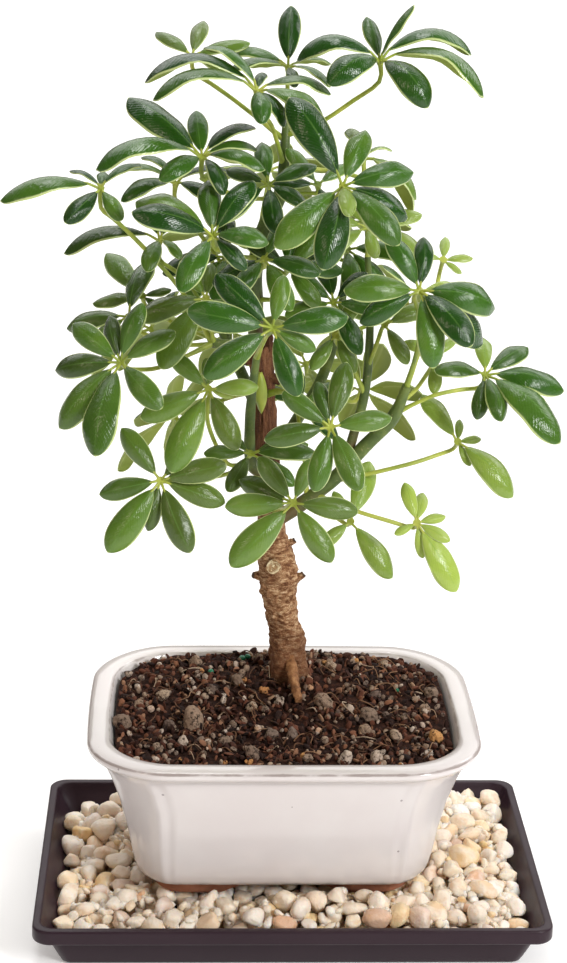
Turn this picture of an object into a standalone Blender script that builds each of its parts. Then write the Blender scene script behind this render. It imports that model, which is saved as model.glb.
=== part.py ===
"""Dwarf umbrella tree trained as a bonsai, in a glazed pot that stands on a pebble-filled humidity tray.

Metres, +Z up. The origin is the middle of the tray's underside, the front looks toward -Y and +X is to
the right as seen from the front. Places are written in millimetres and scaled by MM; those of the pot
and the plant are measured from the pot's own middle, which stands a little off the tray's.
"""

import math
import random

import bmesh
import bpy
from mathutils import Matrix, Quaternion, Vector
from mathutils.bvhtree import BVHTree

MM = 0.001

# Driving dimensions (mm)
GAP = 0.3
TRAY_LENGTH = 202.5
TRAY_DEPTH = 133.7
TRAY_HEIGHT = 20.0
TRAY_WALL = 1.9
TRAY_LIP = 3.4
TRAY_CORNER = 7.0
POT_PLACE = (-3.5, 1.2)
POT_LENGTH = 154.0
POT_DEPTH = 122.5
POT_CORNER = 38.0
POT_FOOT_Z = 18.6
POT_BASE_Z = 23.5
POT_FLOOR_Z = 28.0
POT_RIM_Z = 84.0
DRAIN_X = 27.0
DRAIN_RADIUS = 6.5
SCREEN_RADIUS = 11.0
SCREEN_THICK = 1.2
SOIL_LEVEL = 81.4
PEBBLE_LAYER = 12.6
PEBBLE_TOP = 18.4
PEBBLE_PITCH = 14.6
TRUNK_BOTTOM = 68.0
LEAFLET_STALK = 0.13
LEAFLET_ASPECT = 0.39
BLADE_BROADEST = 0.60
TURNED_BACK = 18
BLADE_THICK = 1.0
CLEARANCE = 0.4
STEPS_PER_CORNER = 5


# Building blocks

def clear_scene():
    for item in list(bpy.data.objects):
        bpy.data.objects.remove(item, do_unlink=True)
    for group in list(bpy.data.collections):
        bpy.data.collections.remove(group)


def new_collection(name):
    group = bpy.data.collections.new(name)
    bpy.context.scene.collection.children.link(group)
    return group


def paint(name, colour, roughness, metallic=0.0):
    material = bpy.data.materials.new(name)
    material.use_nodes = True
    shader = material.node_tree.nodes["Principled BSDF"]
    shader.inputs["Base Color"].default_value = (*colour, 1.0)
    shader.inputs["Roughness"].default_value = roughness
    shader.inputs["Metallic"].default_value = metallic
    return material


def stand_in_tray(item):
    """Move something drawn round the pot's middle to where the pot stands in the tray."""
    item.data.transform(Matrix.Translation(Vector((*POT_PLACE, 0.0)) * MM))


def mesh_object(name, mesh, group, smooth_angle=35.0):
    item = bpy.data.objects.new(name, mesh)
    group.objects.link(item)
    mesh.shade_smooth()
    mesh.set_sharp_from_angle(angle=math.radians(smooth_angle))
    return item


def rounded_ring(half_x, half_y, corner, z):
    """Points (mm) of a rectangle with round corners, counter-clockwise seen from above."""
    points = []
    for sign_x, sign_y, start in ((1, 1, 0), (-1, 1, 90), (-1, -1, 180), (1, -1, 270)):
        for step in range(STEPS_PER_CORNER + 1):
            angle = math.radians(start + 90 * step / STEPS_PER_CORNER)
            points.append((sign_x * (half_x - corner) + corner * math.cos(angle),
                           sign_y * (half_y - corner) + corner * math.sin(angle), z))
    return points


def loft(name, rings, group, peak=None):
    """A closed solid through loops of equal length; the last loop closes on a peak or a flat cap."""
    shape = bmesh.new()
    loops = [[shape.verts.new(Vector(point) * MM) for point in ring] for ring in rings]
    count = len(loops[0])
    for low, high in zip(loops, loops[1:]):
        for i in range(count):
            j = (i + 1) % count
            shape.faces.new((low[i], low[j], high[j], high[i]))
    shape.faces.new(loops[0][::-1])
    if peak is None:
        shape.faces.new(loops[-1])
    else:
        top = shape.verts.new(Vector(peak) * MM)
        for i in range(count):
            shape.faces.new((loops[-1][i], loops[-1][(i + 1) % count], top))
    bmesh.ops.recalc_face_normals(shape, faces=shape.faces)
    mesh = bpy.data.meshes.new(name)
    shape.to_mesh(mesh)
    shape.free()
    return mesh_object(name, mesh, group)


def smooth_line(points, steps):
    """Catmull-Rom points through the given ones; each point may carry a radius as its fourth number."""
    line = []
    last = len(points) - 1
    for i in range(last):
        before, start, end, after = (points[max(i - 1, 0)], points[i], points[i + 1], points[min(i + 2, last)])
        for step in range(steps):
            t = step / steps
            line.append(tuple(0.5 * (2 * b + (c - a) * t + (2 * a - 5 * b + 4 * c - d) * t * t
                                     + (3 * b - a - 3 * c + d) * t ** 3)
                              for a, b, c, d in zip(before, start, end, after)))
    line.append(tuple(points[-1]))
    return line


def tube(name, line, group, sides=4, grow=0.0):
    """A round tube along (x, y, z, radius) points in mm, as a closed mesh."""
    curve = bpy.data.curves.new(name, "CURVE")
    curve.dimensions = "3D"
    curve.bevel_depth = MM
    curve.bevel_resolution = (sides - 4) // 2
    curve.use_fill_caps = True
    spline = curve.splines.new("POLY")
    spline.points.add(len(line) - 1)
    for point, (x, y, z, radius) in zip(spline.points, line):
        point.co = (x * MM, y * MM, z * MM, 1.0)
        point.radius = radius + grow
    drawn = bpy.data.objects.new(name, curve)
    group.objects.link(drawn)
    bpy.context.view_layer.update()
    mesh = bpy.data.meshes.new_from_object(drawn.evaluated_get(bpy.context.evaluated_depsgraph_get()))
    bpy.data.objects.remove(drawn, do_unlink=True)
    bpy.data.curves.remove(curve)
    shape = bmesh.new()
    shape.from_mesh(mesh)
    bmesh.ops.remove_doubles(shape, verts=shape.verts, dist=0.00001)
    bmesh.ops.recalc_face_normals(shape, faces=shape.faces)
    shape.to_mesh(mesh)
    shape.free()
    return mesh_object(name, mesh, group)


def combine(target, operation, tools, solver="EXACT"):
    """Join or cut the target with every object of a collection, keep the result, drop the tools."""
    modifier = target.modifiers.new(operation.title(), "BOOLEAN")
    modifier.operation = operation
    modifier.operand_type = "COLLECTION"
    modifier.collection = tools
    modifier.solver = solver
    bpy.context.view_layer.update()
    result = bpy.data.meshes.new_from_object(target.evaluated_get(bpy.context.evaluated_depsgraph_get()))
    target.modifiers.clear()
    target.data = result
    for item in list(tools.objects):
        bpy.data.objects.remove(item, do_unlink=True)
    bpy.data.collections.remove(tools)
    return target


def loose_parts(shape):
    """The corner lists of a mesh's separate bodies, the largest first."""
    parts = []
    seen = set()
    for first in shape.verts:
        if first in seen:
            continue
        seen.add(first)
        part = [first]
        for vert in part:
            for edge in vert.link_edges:
                other = edge.other_vert(vert)
                if other not in seen:
                    seen.add(other)
                    part.append(other)
        parts.append(part)
    return sorted(parts, key=len, reverse=True)


def settle_mesh(target):
    """Drop the crumbs a cut leaves behind and weld the slivers along the seams of a join."""
    for weld in (0.00004, 0.00002, 0.000005, 0.0):
        shape = bmesh.new()
        shape.from_mesh(target.data)
        bmesh.ops.triangulate(shape, faces=shape.faces)
        if weld:
            bmesh.ops.remove_doubles(shape, verts=shape.verts, dist=weld)
            bmesh.ops.dissolve_degenerate(shape, edges=shape.edges, dist=weld / 2)
        crumbs = [vert for part in loose_parts(shape)[1:] for vert in part]
        bmesh.ops.delete(shape, geom=crumbs, context="VERTS")
        bmesh.ops.recalc_face_normals(shape, faces=shape.faces)
        closed = all(edge.is_manifold and edge.is_contiguous for edge in shape.edges)
        if closed or not weld:
            shape.to_mesh(target.data)
        shape.free()
        if closed:
            break
    target.data.shade_smooth()
    target.data.set_sharp_from_angle(angle=math.radians(35))


# Tray, pebbles, pot, screens and soil

def make_tray(group):
    half_x, half_y = TRAY_LENGTH / 2, TRAY_DEPTH / 2
    outside = ((11.0, 0.0), (10.0, 0.8), (5.6, TRAY_HEIGHT - 7.0), (0.4, TRAY_HEIGHT - 6.2),
               (0.0, TRAY_HEIGHT - 5.8), (0.0, TRAY_HEIGHT - 0.8), (0.8, TRAY_HEIGHT))
    inside = ((TRAY_LIP, TRAY_HEIGHT), (TRAY_LIP + 0.6, TRAY_HEIGHT - 0.7),
              (5.6 + TRAY_WALL, TRAY_HEIGHT - 7.0), (10.0 + TRAY_WALL, TRAY_WALL + 1.0),
              (11.0 + TRAY_WALL, TRAY_WALL))
    rings = [rounded_ring(half_x - inset, half_y - inset, max(TRAY_CORNER - inset * 0.25, 3.0), z)
             for inset, z in outside + inside]
    tray = loft("tray", rings, group)
    tray.data.materials.append(paint("tray_plastic", (0.035, 0.026, 0.032), 0.45))
    return tray


def tray_inner_half(z):
    """Half length and half depth of the tray's inside at a height."""
    share = (z - TRAY_WALL - 1.0) / (TRAY_HEIGHT - 8.0 - TRAY_WALL)
    inset = 10.0 + TRAY_WALL - 4.4 * min(max(share, 0.0), 1.0)
    return TRAY_LENGTH / 2 - inset, TRAY_DEPTH / 2 - inset


def stone(x, y, top, size, draw, group):
    """A pebble's upper half: a rounded block whose foot stands in the layer below."""
    start = draw.uniform(0, math.tau)
    stretch = draw.uniform(0.72, 0.9)
    turn = draw.uniform(0, math.tau)
    rings = []
    for share, z in ((1.05, PEBBLE_LAYER - 1.0), (0.68, top)):
        ring = []
        for i in range(5):
            angle = start + i * math.tau / 5
            long, short = size * share * math.cos(angle), size * share * stretch * math.sin(angle)
            tilt = 0.5 * math.cos(angle) if share < 0.9 else 0.0
            ring.append((x + long * math.cos(turn) - short * math.sin(turn),
                         y + long * math.sin(turn) + short * math.cos(turn), z + tilt))
        rings.append(ring)
    return loft("stone", rings, group)


def make_pebbles(group):
    draw = random.Random(41)
    rings = []
    for z in (TRAY_WALL + GAP, 7.0, PEBBLE_LAYER):
        half_x, half_y = tray_inner_half(z)
        rings.append(rounded_ring(half_x - 0.9, half_y - 0.9, 5.0, z))
    bed = loft("pebble_bed", rings, group)
    stones = new_collection("stones")
    stand_in_tray(loft("under_pot", [rounded_ring(54.5, 38.5, 16.0, z)
                                     for z in (PEBBLE_LAYER - 1.0, POT_FOOT_Z - GAP)], stones))
    half_x, half_y = tray_inner_half(PEBBLE_LAYER)
    columns = int(2 * half_x // PEBBLE_PITCH)
    rows = int(2 * half_y // (PEBBLE_PITCH * 0.93))
    step_x, step_y = (2 * half_x - 2) / columns, (2 * half_y - 2) / rows
    for row in range(rows):
        for column in range(columns):
            x = (column - (columns - 1) / 2) * step_x + draw.uniform(-1.3, 1.3)
            y = (row - (rows - 1) / 2) * step_y + draw.uniform(-1.2, 1.2)
            size = draw.uniform(5.4, 6.7)
            if abs(x - POT_PLACE[0]) < 52 and abs(y - POT_PLACE[1]) < 36:
                continue
            x = max(-half_x + 7.2, min(half_x - 7.2, x))
            y = max(-half_y + 7.2, min(half_y - 7.2, y))
            # the stones are heaped toward the front and the right
            top = PEBBLE_TOP + 1.5 * (0.5 * x / half_x - y / half_y) + draw.uniform(-1.2, 1.2)
            stone(x, y, top, size, draw, stones)
    combine(bed, "UNION", stones)
    seat = new_collection("foot_seat")
    stand_in_tray(loft("foot_cut", [rounded_ring(54.0, 38.0, 16.0, z)
                                    for z in (POT_FOOT_Z - GAP, POT_FOOT_Z + 20)], seat))
    combine(bed, "DIFFERENCE", seat)
    settle_mesh(bed)
    bed.data.materials.clear()
    bed.data.materials.append(paint("river_pebble", (0.72, 0.60, 0.42), 0.55))
    return bed


POT_OUTSIDE = (
    # half length, half depth, corner radius, height
    (52.0, 35.6, 12.4, POT_BASE_Z),
    (55.0, 38.6, 13.8, POT_BASE_Z + 0.9),
    (57.8, 41.4, 16.0, POT_BASE_Z + 3.9),
    (60.4, 44.2, 18.5, 36.5),
    (63.8, 48.0, 21.8, 53.0),
    (68.8, 53.4, 26.6, 70.0),
    (71.4, 56.0, 29.8, 77.2),
    (73.2, 57.7, 32.8, 78.8),
    (76.2, 60.5, 36.8, 79.9),
    (POT_LENGTH / 2, POT_DEPTH / 2, POT_CORNER, 81.9),
    (76.4, 60.6, 37.6, 83.2),
    (74.6, 58.8, 36.2, POT_RIM_Z),
)
POT_INSIDE = (
    (69.4, 53.6, 32.0, POT_RIM_Z),
    (67.9, 52.2, 30.8, 83.0),
    (67.2, 51.5, 30.2, 80.5),
    (54.0, 38.0, 15.0, 33.0),
    (50.0, 34.0, 12.5, POT_FLOOR_Z),
)


def make_pot(group):
    pot = loft("pot", [rounded_ring(*row) for row in POT_OUTSIDE + POT_INSIDE], group)
    foot = loft("foot", [rounded_ring(51.0, 34.6, 12.5, POT_FOOT_Z),
                         rounded_ring(52.4, 36.0, 13.4, POT_BASE_Z + 1.2)], group)
    cuts = new_collection("foot_cuts")
    loft("foot_hollow", [rounded_ring(43.5, 27.5, 8.0, z) for z in (POT_FOOT_Z - 1, POT_BASE_Z + 2)], cuts)
    slots = new_collection("foot_slots")
    # each slot is wider at the foot's underside than under the pot's base
    for name, low, high in (("front_slot", (27.5, 60.0), (14.0, 60.0)),
                            ("side_slot", (80.0, 20.0), (80.0, 8.0))):
        loft(name, [rounded_ring(*low, 1.5, POT_FOOT_Z - 1), rounded_ring(*high, 1.5, POT_BASE_Z + 2)], slots)
    combine(foot, "DIFFERENCE", cuts)
    combine(foot, "DIFFERENCE", slots)
    feet = new_collection("feet")
    group.objects.unlink(foot)
    feet.objects.link(foot)
    combine(pot, "UNION", feet)
    drains = new_collection("drains")
    for side in (-1, 1):
        tube("drain", [(side * DRAIN_X, 0, z, DRAIN_RADIUS) for z in (POT_BASE_Z - 2, POT_FLOOR_Z + 2)],
             drains, 12)
    combine(pot, "DIFFERENCE", drains)
    pot.data.materials.clear()
    pot.data.materials.append(paint("white_glaze", (0.78, 0.74, 0.72), 0.18))
    return pot


def make_screens(group):
    plastic = paint("screen_plastic", (0.02, 0.02, 0.02), 0.6)
    bottom = POT_FLOOR_Z + GAP
    for name, side in (("drain_screen_left", -1), ("drain_screen_right", 1)):
        disc = tube(name, [(side * DRAIN_X, 0, z, SCREEN_RADIUS) for z in (bottom, bottom + SCREEN_THICK)],
                    group, 12)
        holes = new_collection("mesh_holes")
        for row in (-1, 1):
            for column in (-1, 0, 1):
                x = side * DRAIN_X + column * 4.4
                ring = [(x - 1.5, row * 2.8 - 2.0), (x + 1.5, row * 2.8 - 2.0),
                        (x + 1.5, row * 2.8 + 2.0), (x - 1.5, row * 2.8 + 2.0)]
                loft("mesh_hole", [[(*point, z) for point in ring] for z in (bottom - 1, bottom + 3)], holes)
        combine(disc, "DIFFERENCE", holes)
        disc.data.materials.clear()
        disc.data.materials.append(plastic)


def soil_height(x, y):
    """The soil is mounded round the trunk and runs a little higher to the back."""
    mound = 8.0 * math.exp(-((x - 3) / 44) ** 2 - ((y - 25) / 30) ** 2)
    edge = min(max((abs(x) - 42) / 22, 0.0), 1.0)
    return SOIL_LEVEL + mound + 1.4 * y / 50 - 2.6 * edge * edge * (3 - 2 * edge)


def make_soil(group):
    draw = random.Random(7)
    gap = GAP + 0.15
    rings = [rounded_ring(49.7, 33.7, 12.4, POT_FLOOR_Z + GAP),
             rounded_ring(54.0 - gap, 38.0 - gap, 15.0, 33.2)]
    edge = rounded_ring(66.2 - gap, 50.5 - gap, 29.6, 77.0)
    rings.append(edge)
    for share in (0.985, 0.82, 0.62, 0.42, 0.2):
        rings.append([(x * share, y * share, soil_height(x * share, y * share) + draw.uniform(-0.9, 0.9))
                      for x, y, z in edge])
    soil = loft("soil", rings, group, peak=(0, 0, soil_height(0, 0)))
    seats = new_collection("screen_seats")
    for side in (-1, 1):
        tube("screen_seat", [(side * DRAIN_X, 0, z, SCREEN_RADIUS + GAP) for z in
                             (POT_FLOOR_Z - 1, POT_FLOOR_Z + 2 * GAP + SCREEN_THICK)], seats, 12)
    combine(soil, "DIFFERENCE", seats)
    hole = new_collection("trunk_hole")
    trunk_pieces(hole, GAP)
    combine(soil, "DIFFERENCE", hole)
    soil.data.materials.clear()
    soil.data.materials.append(paint("bonsai_soil", (0.055, 0.035, 0.022), 0.95))
    return soil


# Trunk

TRUNK_LINE = (
    # x, y, z, radius
    (4.0, 22.0, TRUNK_BOTTOM, 9.2),
    (3.6, 22.0, 84.0, 9.4),
    (3.0, 22.0, 93.0, 8.2),
    (1.4, 21.0, 108.0, 7.3),
    (-0.5, 20.0, 122.0, 7.0),
    (-1.7, 19.6, 131.0, 7.9),
    (-3.2, 19.4, 141.0, 8.9),
    (-4.0, 19.0, 147.0, 7.4),
    (-4.8, 18.6, 155.0, 6.0),
    (-6.6, 18.0, 175.0, 5.4),
    (-8.6, 18.0, 206.0, 4.8),
    (-9.8, 18.0, 220.0, 5.0),
    (-10.4, 18.0, 230.0, 5.8),
)
SURFACE_ROOT = ((3.2, 17.5, 100.0, 1.9), (4.2, 11.5, 95.5, 2.4), (5.2, 5.0, 91.4, 2.2), (6.6, -1.5, 87.4, 1.6))
TWIG_STUBS = (
    # root, tip, root radius, tip radius
    ((-5.0, 19.0, 133.0), (-13.0, 17.5, 133.8), 2.2, 1.2),
    ((2.0, 19.5, 131.0), (9.0, 18.0, 133.2), 2.2, 1.2),
    ((-3.5, 14.5, 141.0), (-4.4, 9.4, 141.0), 3.4, 2.4),
    ((0.0, 19.0, 146.0), (4.4, 17.6, 149.5), 1.8, 1.0),
    ((-11.0, 18.0, 226.0), (-17.0, 16.5, 224.0), 3.0, 1.6),
    ((-8.0, 17.0, 218.0), (-2.6, 14.8, 216.6), 2.6, 1.5),
)
STUMP_SPLINTERS = (
    ((-13.0, 17.0, 227.0), (-13.8, 16.4, 234.6), 2.4, 0.9),
    ((-7.6, 16.4, 227.0), (-7.0, 15.8, 236.0), 2.6, 1.0),
    ((-10.0, 21.0, 227.0), (-10.4, 21.6, 233.4), 2.4, 1.1),
)


def trunk_pieces(group, grow=0.0):
    """The trunk's solids; with some growth they are the cutter that leaves a running gap round it."""
    pieces = [tube("trunk", smooth_line(TRUNK_LINE, 2), group, 10, grow)]
    pieces.append(tube("surface_root", smooth_line(SURFACE_ROOT, 2), group, 6, grow))
    for root, tip, wide, slim in TWIG_STUBS + STUMP_SPLINTERS:
        pieces.append(tube("stub", [(*root, wide), (*tip, slim)], group, 6, grow))
    return pieces


def make_trunk(group):
    pieces = trunk_pieces(group)
    trunk = pieces[0]
    rest = new_collection("trunk_rest")
    for item in pieces[1:]:
        group.objects.unlink(item)
        rest.objects.link(item)
    combine(trunk, "UNION", rest)
    settle_mesh(trunk)
    trunk.data.materials.clear()
    trunk.data.materials.append(paint("bark", (0.33, 0.22, 0.14), 0.85))
    return trunk


# Growth of the green stems and their whorls

# Each green stem: the wood's line as x, y, z, radius (mm)
STEMS = {
    "leader": ((-10.0, 19.5, 218.0, 3.0), (-12.2, 26.4, 230.0, 3.1), (-12.6, 25.0, 245.0, 3.1),
               (-13.0, 22.5, 260.0, 3.1),
               (-9.5, 22.0, 277.0, 2.9), (-4.0, 22.0, 289.0, 2.6), (-2.5, 22.5, 303.0, 2.0),
               (-1.8, 25.0, 320.0, 1.5)),
    "left_stem": ((-11.5, 16.0, 228.5, 2.2), (-20.0, 13.0, 231.5, 2.1), (-29.5, 12.0, 232.5, 1.8)),
    "front_stem": ((-8.0, 15.0, 178.0, 2.2), (-13.6, 9.6, 184.0, 2.3), (-14.6, 8.0, 198.0, 2.1),
                   (-14.0, 6.5, 214.0, 1.8),
                   (-12.4, 4.5, 229.0, 1.5)),
    "right_branch": ((-3.0, 17.5, 158.0, 3.0), (6.3, 17.5, 164.5, 3.0), (20.0, 15.0, 177.0, 2.9),
                     (31.0, 12.0, 191.0, 2.7),
                     (41.5, 10.0, 203.5, 2.6), (46.5, 8.5, 217.0, 1.8)),
    "low_front_leaf": ((-5.0, 15.5, 163.0, 1.5), (-3.5, 8.0, 166.5, 1.2)),
    "middle_leaf": ((-8.5, 15.5, 211.0, 1.6), (-4.0, 10.0, 214.0, 1.3)),
    "back_left_stem": ((-9.0, 20.0, 198.0, 2.4), (-16.0, 30.0, 212.0, 2.3), (-25.0, 40.0, 230.0, 2.0),
                       (-29.0, 46.0, 248.0, 1.6)),
    "back_right_stem": ((-5.0, 20.5, 182.0, 2.6), (4.0, 32.0, 194.0, 2.5), (15.0, 42.0, 210.0, 2.2),
                        (22.0, 50.0, 231.0, 1.7),
                        (24.0, 54.0, 250.0, 1.4)),
}
# The upright shoot grows on the right branch and is one body with it
UPRIGHT_SHOOT = ((22.5, 14.6, 179.0, 2.0), (26.5, 15.0, 194.0, 1.9), (31.0, 15.5, 214.0, 1.8),
                 (32.0, 17.0, 240.0, 1.6),
                 (30.5, 19.5, 266.0, 1.2))

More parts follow.
